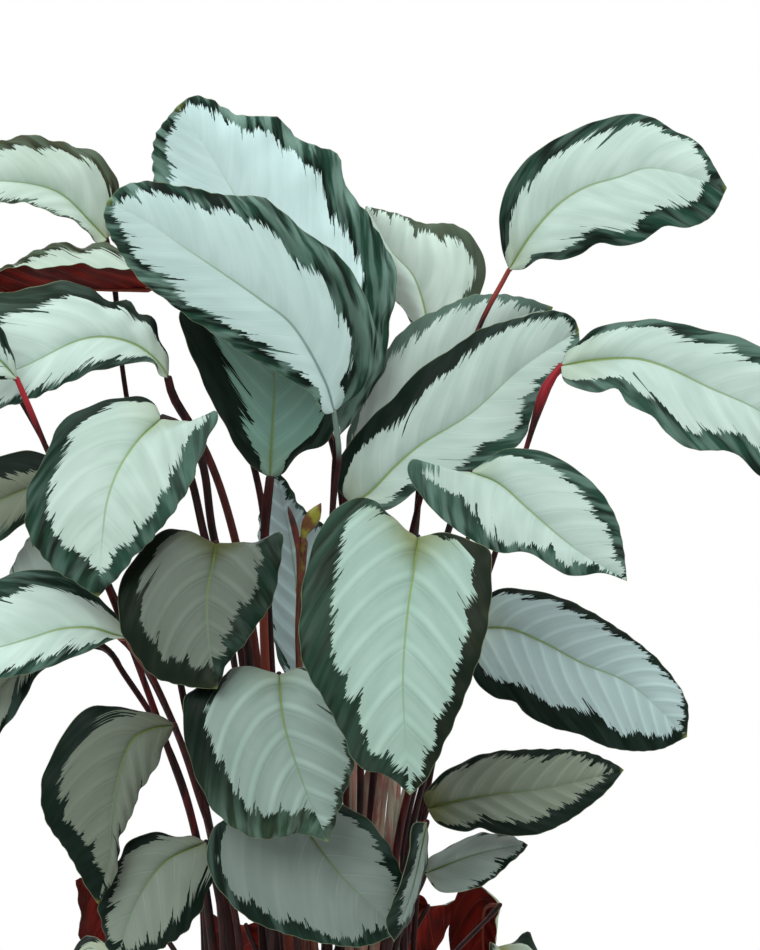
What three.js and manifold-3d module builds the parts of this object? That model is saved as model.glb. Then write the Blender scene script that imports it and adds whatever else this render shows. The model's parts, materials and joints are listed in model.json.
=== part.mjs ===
// Potted calathea picturata: a clump of patterned leaves on long petioles, in soil, in a plain round pot.
// Millimetres, +Z up, origin at the middle of the pot's underside, front towards -Y.

import * as THREE from 'three';
import Module from 'manifold-3d';

const wasm = await Module();
wasm.setup();

// Driving dimensions
const potHeight = 162;
const potRimRadius = 88;
const potFootRadius = 64;
const potWall = 5;
const potFloor = 6;
const rimHeight = 22;
const rimOverhang = 4;
const footChamfer = 3;
const soilTop = 148;
const seatGap = 0.3;
const potSides = 48;

const petioleFootRadius = 2.2;
const petioleTopRadius = 1.35;
const pulvinusRadius = 2.1;
const pulvinusPlace = 0.93; // share of the petiole's length
const pulvinusSpan = 0.09; // the swelling's reach on either side, as a share of the same length
const bladeHalfThickness = 0.55;
const bladeBow = 3;
const bladeCup = 1.4; // how late, from midrib to edge, a blade's side turns away

// The leaves stand where a picture of the plant shows them. A place is written as across and down in
// picture pixels, with a depth in millimetres behind the pot's axis.
const picture = {
  pixel: 0.5, // mm for each picture pixel at the pot's axis
  distance: 1320, // mm from the eye to the pot's axis
  middle: [380, 475], // the picture's middle, in pixels
  eye: [30, 467.5], // the eye's x and z, in mm
};

function place([across, down], depth) {
  const scale = (picture.pixel * (picture.distance + depth)) / picture.distance;
  return new THREE.Vector3(
    picture.eye[0] + (across - picture.middle[0]) * scale,
    depth,
    picture.eye[1] - (down - picture.middle[1]) * scale,
  );
}

// Each leaf: its midrib from base to tip, then its edges, left and right as seen with the tip up.
// deep is the midrib's depth at base, middle and tip; sides is how much deeper each edge lies.
// stem is where the petiole passes on its way up to the blade; foot is where it leaves the soil.
const leaves = {
  leaf_01: {
    midrib: [[107, 240], [92, 224], [57, 192], [0, 181], [-78, 188]],
    left: [[99, 243], [84, 230], [60, 215], [23, 204], [-45, 200]],
    right: [[118, 222], [122, 200], [113, 173], [92, 151], [41, 138], [0, 140], [-45, 158]],
    deep: [6, -12, -30], sides: [-12, 14],
    stem: [[124, 380, 16], [115, 290, 13]], foot: [-28, 14],
  },
  leaf_02: {
    midrib: [[152, 287], [77, 288], [40, 287], [14, 290], [-32, 297]],
    left: [[147, 277], [133, 270], [80, 266], [3, 271], [-18, 285]],
    right: [[146, 268], [118, 252], [104, 240], [83, 246], [64, 244], [26, 254], [3, 268], [-18, 284]],
    deep: [-18, -26, -36], sides: [-22, 16],
    stem: [[271, 660, 2], [268, 600, 0], [262, 505, -3], [240, 420, -5], [212, 352, -8], [180, 302, -14]],
    foot: [-14, 12],
  },
  leaf_03: {
    midrib: [[334, 412], [325, 382], [292, 325], [261, 300], [184, 247], [147, 222], [107, 201]],
    left: [[325, 414], [311, 394], [258, 362], [220, 338], [173, 306], [132, 271], [104, 218]],
    right: [
      [349, 400], [369, 379], [377, 351], [369, 307], [349, 267], [312, 236], [259, 197],
      [234, 195], [176, 186], [145, 180], [122, 187],
    ],
    deep: [-48, -72, -95], sides: [-4, 14],
    stem: [[333, 513, -34], [339, 455, -42]], foot: [2, -12],
  },
  leaf_04: {
    midrib: [[168, 378], [162, 367], [138, 346], [107, 337], [80, 340], [18, 369], [-75, 398]],
    left: [[160, 376], [153, 363], [122, 366], [92, 372], [66, 384], [31, 399], [0, 408], [-42, 412]],
    right: [
      [169, 366], [168, 352], [153, 321], [138, 315], [127, 301], [107, 297], [86, 287],
      [40, 285], [0, 295], [-48, 332],
    ],
    deep: [-48, -62, -75], sides: [-8, 10],
    stem: [[256, 655, -23], [230, 520, -32], [205, 450, -40], [173, 396, -46]], foot: [-18, -8],
  },
  leaf_04b: {
    midrib: [[17, 379], [2, 362], [-30, 335], [-78, 292]],
    left: [[2, 379], [-25, 374], [-58, 345]],
    right: [[17, 366], [8, 344], [0, 329], [-25, 302], [-55, 288]],
    deep: [-85, -95, -105], sides: [-4, 6],
    stem: [[196, 836, -62], [165, 740, -71], [112, 598, -79], [48, 452, -83]], foot: [-42, -28],
  },
  leaf_05: {
    midrib: [[162, 418], [138, 441], [118, 471], [107, 502], [103, 531], [98, 597]],
    left: [[193, 420], [217, 414], [207, 442], [190, 485], [179, 503], [158, 534], [130, 560], [110, 586]],
    right: [
      [153, 404], [118, 396], [86, 406], [58, 428], [52, 441], [32, 477], [26, 515],
      [31, 540], [50, 567], [73, 580],
    ],
    deep: [-88, -112, -118], sides: [4, 8],
    stem: [[251, 690, -52], [246, 640, -58], [214, 538, -66], [202, 462, -76], [184, 428, -86]],
    foot: [-14, -20],
  },
  leaf_06: {
    midrib: [[66, 482], [30, 488], [0, 500], [-82, 528]],
    left: [[52, 500], [25, 523], [0, 541], [-42, 545]],
    right: [[58, 462], [44, 453], [20, 453], [0, 456], [-48, 482]],
    deep: [-72, -78, -90], sides: [-2, 6],
    stem: [[211, 836, -32], [180, 740, -42], [115, 604, -58], [84, 530, -65]], foot: [-42, -6],
  },
  leaf_07: {
    midrib: [[60, 642], [52, 600], [55, 560], [62, 515]],
    left: [[32, 628], [11, 590], [17, 555], [38, 528]],
    right: [[86, 628], [96, 590], [84, 545]],
    deep: [-52, -55, -60], sides: [2, 2],
    stem: [[196, 836, -23], [165, 740, -35], [124, 674, -44], [109, 651, -47]], foot: [-48, 2],
  },
  leaf_08: {
    midrib: [[127, 638], [115, 635], [92, 628], [61, 629], [31, 638], [0, 647], [-85, 665]],
    left: [[113, 640], [84, 653], [41, 670], [0, 679], [-48, 684]],
    right: [[122, 624], [98, 595], [73, 580], [53, 571], [23, 570], [0, 579], [-48, 612]],
    deep: [-88, -98, -112], sides: [-8, 10],
    stem: [[211, 836, -57], [180, 740, -70], [152, 676, -82]], foot: [-30, -32],
  },
  leaf_09: {
    midrib: [[78, 638], [40, 652], [0, 688], [-62, 762]],
    left: [[68, 652], [50, 666], [36, 678], [20, 706], [0, 734], [-32, 760]],
    right: [[54, 632], [0, 648], [-42, 682], [-62, 728]],
    deep: [-66, -74, -86], sides: [-4, 4],
    stem: [[196, 836, -41], [165, 740, -51], [123, 673, -58], [106, 648, -61]], foot: [-50, -16],
  },
  leaf_10: {
    midrib: [[216, 543], [212, 570], [208, 588], [208, 632], [217, 689]],
    left: [[247, 542], [261, 538], [281, 534], [279, 570], [273, 601], [254, 629], [229, 663], [222, 678]],
    right: [
      [190, 533], [169, 530], [156, 535], [132, 559], [121, 580], [119, 606], [122, 632],
      [153, 676], [191, 686],
    ],
    deep: [-92, -114, -126], sides: [4, 6],
    stem: [[240, 700, -62], [222, 580, -84]], foot: [-12, -28],
  },
  leaf_11: {
    midrib: [[279, 674], [284, 723], [303, 783], [328, 842]],
    left: [[304, 668], [334, 700], [352, 735], [355, 758], [351, 779], [339, 806], [333, 830]],
    right: [
      [250, 667], [231, 666], [221, 676], [193, 690], [185, 696], [183, 718], [186, 748],
      [200, 786], [218, 814], [249, 837], [276, 839], [304, 834],
    ],
    deep: [-104, -130, -136], sides: [6, 6],
    stem: [[290, 800, -80], [282, 715, -100]], foot: [-6, -40],
  },
  leaf_12: {
    midrib: [[418, 537], [414, 570], [408, 609], [403, 678], [406, 747], [410, 795]],
    left: [[445, 533], [470, 539], [489, 551], [492, 572], [489, 618], [478, 662], [452, 727], [428, 777]],
    right: [
      [406, 529], [389, 514], [363, 498], [335, 508], [320, 531], [306, 569], [300, 609],
      [302, 658], [320, 695], [341, 731], [359, 765], [391, 779],
    ],
    deep: [-122, -158, -165], sides: [-4, 6],
    stem: [[383, 760, -84], [412, 610, -106]], foot: [14, -34],
  },
  leaf_13: {
    midrib: [[336, 440], [320, 370], [285, 290], [228, 183], [206, 148], [177, 106]],
    left: [[318, 405], [285, 360], [240, 310], [190, 250], [160, 205], [152, 165], [157, 133]],
    right: [
      [352, 420], [378, 382], [388, 335], [394, 300], [394, 262], [374, 226], [349, 188],
      [337, 156], [302, 140], [279, 119], [243, 116], [223, 105], [195, 96],
    ],
    deep: [10, 12, -8], sides: [-4, 12],
    stem: [[330, 560, 12]], foot: [4, 8],
  },
  leaf_14: {
    midrib: [[270, 478], [273, 417], [274, 375], [262, 315], [238, 264]],
    left: [[256, 470], [236, 447], [217, 413], [199, 373], [186, 341], [180, 312], [200, 278]],
    right: [[283, 474], [292, 464], [306, 451], [328, 440], [336, 400], [320, 345], [285, 292]],
    deep: [-16, -22, -40], sides: [2, 2],
    stem: [[265, 660, -10], [265, 530, -14]], foot: [-8, 4],
  },
  leaf_15: {
    midrib: [[432, 348], [422, 299], [412, 274], [392, 252], [366, 206]],
    left: [[418, 338], [405, 313], [395, 296], [378, 262], [362, 228]],
    right: [[456, 332], [482, 291], [486, 274], [482, 254], [469, 234], [455, 224], [420, 222], [390, 212]],
    deep: [78, 72, 60], sides: [4, 8],
    stem: [[391, 805, 46], [420, 480, 64]], foot: [18, 26],
  },
  leaf_16: {
    midrib: [[345, 480], [395, 420], [450, 360], [505, 322], [553, 307]],
    left: [
      [344, 458], [350, 432], [358, 404], [372, 374], [389, 345], [413, 323], [442, 307],
      [469, 297], [508, 294], [537, 302],
    ],
    right: [[378, 478], [430, 446], [480, 404], [520, 356], [545, 328]],
    deep: [24, 40, 36], sides: [6, 0],
    stem: [[345, 560, 26]], foot: [14, 12],
  },
  leaf_17: {
    midrib: [[350, 503], [367, 495], [394, 468], [419, 446], [470, 414], [518, 371], [579, 330]],
    left: [
      [336, 486], [336, 468], [347, 446], [370, 420], [394, 396], [422, 368], [450, 349],
      [478, 331], [505, 321], [537, 313], [556, 311], [574, 318],
    ],
    right: [
      [362, 508], [389, 510], [419, 489], [445, 480], [470, 473], [493, 457], [516, 447],
      [526, 435], [534, 409], [555, 380], [568, 362], [579, 344],
    ],
    deep: [-22, -22, -8], sides: [8, -12],
    stem: [[353, 800, -11], [352, 600, -16]], foot: [12, -6],
  },
  leaf_18: {
    midrib: [[509, 270], [532, 234], [559, 204], [586, 187], [619, 177], [649, 168], [727, 188]],
    left: [
      [502, 249], [499, 219], [507, 187], [529, 157], [564, 135], [599, 120], [636, 114],
      [656, 119], [672, 129], [698, 143], [714, 166],
    ],
    right: [
      [524, 269], [539, 259], [561, 260], [581, 254], [599, 243], [619, 246], [641, 242],
      [666, 226], [686, 228], [711, 217],
    ],
    deep: [14, -6, -10], sides: [6, -6],
    stem: [[371, 810, 2], [412, 531, 8], [478, 330, 10]], foot: [26, 4],
  },
  leaf_19: {
    midrib: [[561, 366], [596, 360], [638, 359], [666, 367], [708, 387], [760, 411], [846, 472]],
    left: [
      [566, 352], [582, 339], [596, 329], [618, 322], [645, 320], [673, 322], [708, 330],
      [760, 346], [812, 392], [838, 440],
    ],
    right: [
      [564, 381], [582, 390], [596, 393], [617, 389], [627, 404], [652, 416], [666, 433],
      [691, 449], [734, 453], [760, 476], [812, 490],
    ],
    deep: [-36, -52, -62], sides: [6, -8],
    stem: [[400, 830, -12], [494, 557, -26], [527, 446, -32], [547, 386, -35]], foot: [34, -6],
  },
  leaf_20: {
    midrib: [[470, 472], [499, 484], [528, 509], [558, 535], [584, 555], [627, 581]],
    left: [[491, 458], [501, 450], [524, 448], [544, 452], [568, 464], [588, 478], [607, 501], [621, 533]],
    right: [
      [440, 469], [412, 460], [407, 470], [430, 507], [455, 529], [481, 545], [501, 553],
      [528, 553], [568, 575], [601, 573],
    ],
    deep: [-78, -98, -104], sides: [8, -4],
    stem: [[379, 846, -44], [386, 780, -48], [447, 535, -66]], foot: [24, -18],
  },
  leaf_21: {
    midrib: [[478, 628], [511, 629], [543, 642], [582, 663], [630, 684], [687, 737]],
    left: [[482, 606], [494, 591], [530, 590], [563, 598], [591, 612], [630, 636], [668, 671], [687, 702]],
    right: [
      [468, 652], [476, 682], [496, 698], [515, 702], [524, 713], [553, 728], [578, 734],
      [610, 748], [658, 750],
    ],
    deep: [-40, -58, -62], sides: [6, -8],
    stem: [[410, 840, -28]], foot: [44, -14],
  },
  leaf_22: {
    midrib: [[427, 809], [457, 801], [496, 794], [534, 790], [563, 785], [624, 770]],
    left: [[424, 796], [431, 786], [448, 770], [476, 756], [515, 750], [553, 749], [591, 753], [614, 763]],
    right: [
      [438, 824], [465, 832], [480, 828], [496, 834], [534, 835], [563, 824], [591, 805], [609, 789],
    ],
    deep: [-72, -88, -92], sides: [10, -8],
    stem: [[384, 940, -50]], foot: [36, -30],
  },
  leaf_23: {
    midrib: [[425, 874], [470, 856], [502, 848], [528, 845]],
    left: [[430, 860], [457, 841], [480, 835], [505, 834], [519, 838]],
    right: [[440, 892], [478, 887], [508, 866], [522, 853]],
    deep: [-52, -62, -70], sides: [14, -14],
    stem: [[394, 960, -38]], foot: [50, -26],
  },
  leaf_24: {
    midrib: [[175, 725], [154, 728], [134, 738], [123, 760], [116, 790], [112, 818], [110, 850], [98, 904]],
    left: [[170, 738], [162, 752], [153, 771], [142, 790], [130, 816], [122, 834], [119, 856], [111, 884]],
    right: [
      [164, 718], [148, 713], [130, 708], [114, 705], [94, 706], [76, 719], [57, 744], [45, 768],
      [41, 795], [44, 814], [53, 834], [69, 856], [83, 880],
    ],
    deep: [-92, -104, -108], sides: [2, 2],
    stem: [[236, 920, -60], [196, 790, -80]], foot: [-36, -40],
  },
  leaf_25: {
    midrib: [[206, 842], [165, 862], [135, 905], [115, 965]],
    left: [[216, 862], [205, 902], [168, 946]],
    right: [[190, 834], [160, 835], [138, 839], [122, 850], [104, 890], [102, 935]],
    deep: [-76, -92, -96], sides: [0, 4],
    stem: [[222, 930, -64]], foot: [-50, -36],
  },
  leaf_26: {
    midrib: [[290, 805], [310, 835], [345, 880], [402, 932]],
    left: [[320, 796], [341, 803], [375, 827], [392, 850], [404, 888]],
    right: [[250, 812], [216, 826], [206, 862], [240, 912], [298, 938], [360, 946]],
    deep: [-96, -108, -112], sides: [4, -4],
    stem: [[272, 930, -74]], foot: [-22, -50],
  },
  leaf_27: {
    midrib: [[427, 822], [421, 850], [412, 890], [394, 942]],
    left: [[429, 836], [426, 860], [415, 908]],
    right: [[413, 824], [410, 850], [397, 890], [386, 925]],
    deep: [-100, -112, -120], sides: [14, -10],
    stem: [[392, 930, -70]], foot: [26, -42],
  },
  leaf_28: {
    midrib: [[303, 692], [300, 620], [290, 540], [276, 468]],
    left: [[284, 672], [269, 625], [258, 560], [262, 502]],
    right: [[330, 670], [345, 600], [336, 550], [322, 524], [301, 505], [284, 479]],
    deep: [38, 44, 40], sides: [4, 4],
    stem: [[306, 800, 30]], foot: [2, 20],
  },
};

// Leaves out of the picture's sight, at the back, at the sides and low down. Each has the shape of
// one above, mirrored or not, turned by degrees about an upright line, with a base of its own.
const hiddenLeaves = {
  back_leaf_01: {
    like: 'leaf_03', mirror: true, turn: 180, size: 0.88, at: [322, 400, 62],
    stem: [[359, 810, 48], [350, 600, 60], [338, 470, 66]], foot: [-6, 32],
  },
  back_leaf_02: {
    like: 'leaf_12', mirror: true, turn: 180, size: 0.9, at: [412, 552, 112],
    stem: [[364, 810, 84], [367, 780, 87], [381, 735, 92]], foot: [14, 46],
  },
  back_leaf_03: {
    like: 'leaf_17', mirror: true, turn: 180, size: 0.9, at: [366, 496, 96],
    stem: [[396, 820, 60], [384, 640, 80]], foot: [8, 42],
  },
  back_leaf_04: {
    like: 'leaf_10', mirror: true, turn: 180, size: 0.95, at: [212, 550, 84],
    stem: [[246, 740, 64]], foot: [-18, 36],
  },
  back_leaf_05: {
    like: 'leaf_05', mirror: true, turn: 180, size: 0.92, at: [158, 426, 70],
    stem: [[245, 680, 50], [237, 630, 54], [207, 545, 62], [186, 465, 68]], foot: [-24, 22],
  },
  back_leaf_06: {
    like: 'leaf_21', mirror: true, turn: 180, size: 0.9, at: [490, 636, 62],
    stem: [[404, 840, 40], [438, 720, 52], [472, 652, 60]], foot: [38, 22],
  },
  back_leaf_07: {
    like: 'leaf_11', mirror: true, turn: 180, size: 0.9, at: [276, 690, 104],
    stem: [[290, 850, 82]], foot: [-8, 48],
  },
  back_leaf_08: {
    like: 'leaf_20', mirror: true, turn: 180, size: 0.88, at: [478, 480, 88],
    stem: [[440, 700, 66]], foot: [28, 36],
  },
  back_leaf_09: {
    like: 'leaf_19', mirror: true, turn: 180, size: 0.68, at: [578, 358, 50],
    stem: [[432, 760, 24], [494, 554, 36], [527, 446, 44], [547, 388, 48], [562, 366, 50]], foot: [34, 14],
  },
  right_leaf_01: {
    like: 'leaf_12', turn: 78, size: 0.45, at: [558, 620, 34],
    stem: [[399, 824, 9], [424, 736, 15], [466, 660, 24], [510, 640, 30]], foot: [46, 6],
  },
  right_leaf_02: {
    like: 'leaf_05', turn: 100, size: 0.38, at: [664, 348, -2],
    stem: [[430, 780, 2], [493, 556, -2], [527, 446, -4], [547, 388, -5], [572, 364, -5], [620, 354, -4]],
    foot: [42, -4],
  },
  right_leaf_03: {
    like: 'leaf_10', turn: 70, size: 0.9, at: [496, 948, -20],
    stem: [[442, 1006, -12]], foot: [56, -8],
  },
  right_leaf_04: {
    like: 'leaf_24', mirror: true, turn: 130, size: 0.85, at: [500, 905, 64],
    stem: [[430, 990, 40]], foot: [50, 26],
  },
  left_leaf_01: {
    like: 'leaf_10', turn: -80, size: 0.9, at: [-40, 300, 30],
    stem: [[211, 836, 10], [180, 740, 14], [116, 600, 20], [49, 452, 25]], foot: [-40, 12],
  },
  left_leaf_02: {
    like: 'leaf_12', turn: -100, size: 0.75, at: [-36, 470, 66],
    stem: [[211, 836, 34], [180, 740, 42], [126, 644, 52], [56, 604, 58], [-10, 575, 63]], foot: [-44, 24],
  },
  left_leaf_03: {
    like: 'leaf_11', turn: -85, size: 0.85, at: [-30, 660, 20],
    stem: [[196, 836, 4], [165, 740, 8], [124, 673, 11], [107, 651, 13], [44, 632, 17]], foot: [-56, 8],
  },
  left_leaf_04: {
    like: 'leaf_24', turn: -60, size: 0.85, at: [120, 960, -20],
    stem: [[186, 1010, -16]], foot: [-58, -12],
  },
  left_leaf_05: {
    like: 'leaf_05', turn: -130, size: 0.85, at: [118, 880, 84],
    stem: [[180, 960, 56]], foot: [-46, 38],
  },
  low_leaf_01: {
    like: 'leaf_10', turn: 160, size: 0.9, at: [246, 925, 104],
    stem: [[272, 1000, 80]], foot: [-26, 54],
  },
  low_leaf_02: {
    like: 'leaf_05', mirror: true, turn: 200, size: 0.85, at: [428, 906, 110],
    stem: [[380, 1000, 82]], foot: [26, 56],
  },
};

// New growth in the middle of the clump: a leaf still rolled up, and a closed bud, each on a thin stem.
// spindle is the place of the shoot's tip.
const shoots = {
  young_leaf: {
    stem: [[299, 640, -38], [301, 570, -43], [304, 534, -45]], foot: [-4, -22],
    spindle: [321, 503, -48], stemRadius: 1.2, spindleRadius: 3,
  },
  flower_bud: {
    stem: [[297, 640, -46], [299, 570, -50], [296, 536, -51]], foot: [4, -26],
    spindle: [288, 506, -53], stemRadius: 1.2, spindleRadius: 2.4,
  },
};
const shootWaist = 0.84; // share of a shoot's length where its spindle begins
const shootSwelling = [0.2, 0.4, 0.6, 0.8];
const shootLean = 0.8; // under 1 puts the spindle's widest place nearer to its foot

const edgeSamples = 240;

// A rail is a smooth line through places of the picture, read by its share of length.
function rail(points) {
  const curve = new THREE.CatmullRomCurve3(
    points.map(([across, down]) => new THREE.Vector3(across, down, 0)),
    false,
    'centripetal',
  );
  curve.arcLengthDivisions = edgeSamples;
  return (share) => curve.getPointAt(share);
}

// How much of its full width and cup a blade has at a share of its length.
const fullness = (share) => Math.sin(Math.PI * share ** 0.6) ** 0.6;

// A blade as a function: share along it, then across it from -1 on the left to 1 on the right.
function bladeSurface({ midrib, left, right, deep, sides }) {
  const base = midrib[0];
  const tip = midrib[midrib.length - 1];
  const middleLine = rail(midrib);
  const edges = [rail([base, ...left, tip]), rail([base, ...right, tip])];
  return (share, across) => {
    const side = across < 0 ? 0 : 1;
    const out = Math.abs(across);
    const spot = middleLine(share).lerp(edges[side](share), out);
    const full = share > 0 && share < 1 ? fullness(share) : 0;
    const arc =
      deep[0] * (1 - share) * (1 - 2 * share) +
      deep[1] * 4 * share * (1 - share) +
      deep[2] * share * (2 * share - 1);
    const depth = arc + sides[side] * full * out ** bladeCup - bladeBow * full * 4 * out * (1 - out);
    return place([spot.x, spot.y], depth);
  };
}

// The same blade again, turned about an upright line and carried to a base of its own.
function carriedBlade(surface, { at, turn, mirror = false, size }) {
  const base = surface(0, 0);
  const spot = place(at, at[2]);
  const angle = THREE.MathUtils.degToRad(turn);
  const upright = new THREE.Vector3(0, 0, 1);
  return (share, across) => {
    const point = surface(share, mirror ? -across : across).sub(base);
    if (mirror) point.x = -point.x;
    return point.applyAxisAngle(upright, angle).multiplyScalar(size).add(spot);
  };
}

const bladeStations = [0.05, 0.13, 0.25, 0.39, 0.54, 0.69, 0.83, 0.94];
const petioleStations = [0, 0.22, 0.45, 0.66, 0.82, pulvinusPlace, 1];
const petioleTip = 1.4; // how far a petiole's rounded end reaches past the blade's base
const ringAngles = [4, 3, 2, 1, 0, -1, -2, -3].map((step) => (step * Math.PI) / 4);
const acrossPlaces = [-0.52, 0, 0.52];
const slopeStep = 0.01;

// A blade's cross section: left edge, three places on top, right edge, three places below.
function bladeRing(surface, share) {
  const lift = acrossPlaces.map((across) => {
    const here = surface(share, across);
    const along = surface(Math.min(share + slopeStep, 1), across).sub(here);
    const sideways = surface(share, across + slopeStep).sub(surface(share, across - slopeStep));
    return [here, sideways.cross(along).normalize().multiplyScalar(bladeHalfThickness)];
  });
  const top = lift.map(([here, up]) => here.clone().add(up));
  const under = lift.map(([here, up]) => here.clone().sub(up)).reverse();
  return [surface(share, -1), ...top, surface(share, 1), ...under];
}

function petioleRadius(share) {
  const thinning = petioleFootRadius + (petioleTopRadius - petioleFootRadius) * share;
  const swelling = Math.max(0, 1 - Math.abs(share - pulvinusPlace) / pulvinusSpan);
  return thinning + (pulvinusRadius - petioleTopRadius) * swelling;
}

// Round rings along a line at the given shares of its length, each with its own radius.
function tubeRings(line, shares, radii) {
  const right = new THREE.Vector3(1, 0, 0);
  return shares.map((share, i) => {
    const tangent = share > 0 ? line.getTangentAt(share) : new THREE.Vector3(0, 0, 1);
    right.addScaledVector(tangent, -right.dot(tangent)).normalize();
    const up = right.clone().cross(tangent);
    const centre = line.getPointAt(share);
    return ringAngles.map((angle) =>
      centre
        .clone()
        .addScaledVector(right, radii[i] * Math.cos(angle))
        .addScaledVector(up, radii[i] * Math.sin(angle)),
    );
  });
}

// One closed solid over a row of rings of eight, from a start point to an end point. A ring's first
// half and its second are cut along the same diagonals, so that a thin blade's faces never cross.
function skin(start, rings, end) {
  const count = ringAngles.length;
  const corners = [...rings.flat(), start, end];
  const first = corners.length - 2;
  const last = corners.length - 1;
  const faces = [];
  for (let i = 0; i < count; i++) faces.push(first, (i + 1) % count, i);
  for (let r = 0; r + 1 < rings.length; r++) {
    for (let i = 0; i < count; i++) {
      const next = (i + 1) % count;
      const a = r * count;
      const b = a + count;
      if (i < count / 2) faces.push(a + i, b + next, b + i, a + i, a + next, b + next);
      else faces.push(a + i, a + next, b + i, a + next, b + next, b + i);
    }
  }
  const top = (rings.length - 1) * count;
  for (let i = 0; i < count; i++) faces.push(top + i, top + ((i + 1) % count), last);
  return new wasm.Manifold(
    new wasm.Mesh({
      numProp: 3,
      vertProperties: new Float32Array(corners.flatMap((corner) => corner.toArray())),
      triVerts: new Uint32Array(faces),
    }),
  );
}

function geometryOf(solid) {
  const { vertProperties, triVerts } = solid.getMesh();
  const geometry = new THREE.BufferGeometry();
  geometry.setAttribute('position', new THREE.BufferAttribute(vertProperties, 3));
  geometry.setIndex(new THREE.BufferAttribute(triVerts, 1));
  geometry.computeVertexNormals();
  return geometry;
}

// A petiole's line: straight up out of the soil, through its places, to the blade's base.
function petioleLine({ foot, stem }, base) {
  const start = new THREE.Vector3(foot[0], foot[1], soilTop + seatGap);
  const places = stem.map(([right, down, depth]) => place([right, down], depth));
  return new THREE.CatmullRomCurve3([start, ...places, base], false, 'centripetal');
}

// A leaf is one body: its petiole, and its blade grown on the petiole's rounded end.
function leafGeometry(surface, leaf) {
  const base = surface(0, 0);
  const line = petioleLine(leaf, base);
  const radii = petioleStations.map(petioleRadius);
  const tip = base.clone().addScaledVector(line.getTangentAt(1), petioleTip);
  const petiole = skin(line.getPointAt(0), tubeRings(line, petioleStations, radii), tip);
  const blade = skin(base, bladeStations.map((share) => bladeRing(surface, share)), surface(1, 0));
  return geometryOf(petiole.add(blade));
}

// A shoot is one body too: a thin stem that swells into a closed spindle.
function shootGeometry({ foot, stem, spindle, stemRadius, spindleRadius }) {
  const tip = place(spindle, spindle[2]);
  const line = petioleLine({ foot, stem }, tip);
  const waist = shootWaist;
  const swelling = shootSwelling.map((share) => waist + (1 - waist) * share);
  const stations = [0, waist / 3, (2 * waist) / 3, waist, ...swelling];
  const radii = stations.map((share) => {
    const out = Math.max(0, (share - waist) / (1 - waist));
    return stemRadius + (spindleRadius - stemRadius) * Math.sin(Math.PI * out ** shootLean);
  });
  return geometryOf(skin(line.getPointAt(0), tubeRings(line, stations, radii), tip));
}

const colours = { pot: 0xe4e0d8, soil: 0x3a2a1e, leaf: 0x9fbcae, young_leaf: 0x7f8f52, flower_bud: 0x6e4a22 };

const finish = (color, roughness) =>
  new THREE.MeshStandardMaterial({ color, roughness, metalness: 0 });

function named(name, geometry, material) {
  const mesh = new THREE.Mesh(geometry, material);
  mesh.name = name;
  return mesh;
}

function lathed(profile) {
  const points = profile.map(([radius, height]) => new THREE.Vector2(radius, height));
  return new THREE.LatheGeometry(points, potSides).rotateX(Math.PI / 2);
}

// The inner wall runs parallel to the outer one, a wall's thickness inside it.
const innerRadiusAt = (height) =>
  potFootRadius - potWall + ((potRimRadius - potFootRadius) * height) / potHeight;

function pot() {
  const outerRadiusAt = (height) => innerRadiusAt(height) + potWall;
  const rimBottom = potHeight - rimHeight;
  return lathed([
    [0, 0],
    [potFootRadius - footChamfer, 0],
    [potFootRadius, footChamfer],
    [outerRadiusAt(rimBottom), rimBottom],
    [outerRadiusAt(rimBottom) + rimOverhang, rimBottom + rimOverhang],
    [potRimRadius + rimOverhang, potHeight - rimOverhang],
    [potRimRadius + rimOverhang / 2, potHeight],
    [innerRadiusAt(potHeight), potHeight],
    [innerRadiusAt(potFloor), potFloor],
    [0, potFloor],
  ]);
}

function soil() {
  const bottom = potFloor + seatGap;
  return lathed([
    [0, bottom],
    [innerRadiusAt(bottom) - seatGap, bottom],
    [innerRadiusAt(soilTop) - seatGap, soilTop],
    [0, soilTop],
  ]);
}

const plant = new THREE.Group();
plant.add(named('pot', pot(), finish(colours.pot, 0.6)));
plant.add(named('soil', soil(), finish(colours.soil, 1)));

for (const [name, leaf] of Object.entries(leaves)) {
  plant.add(named(name, leafGeometry(bladeSurface(leaf), leaf), finish(colours.leaf, 0.5)));
}
for (const [name, shoot] of Object.entries(shoots)) {
  plant.add(named(name, shootGeometry(shoot), finish(colours[name], 0.5)));
}
for (const [name, leaf] of Object.entries(hiddenLeaves)) {
  const blade = carriedBlade(bladeSurface(leaves[leaf.like]), leaf);
  plant.add(named(name, leafGeometry(blade, leaf), finish(colours.leaf, 0.5)));
}

export default plant;
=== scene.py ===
# Looks of a potted calathea picturata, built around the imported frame.
# Metres, Z up, origin under the middle of the pot, front towards -Y.
import json
import math

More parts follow.
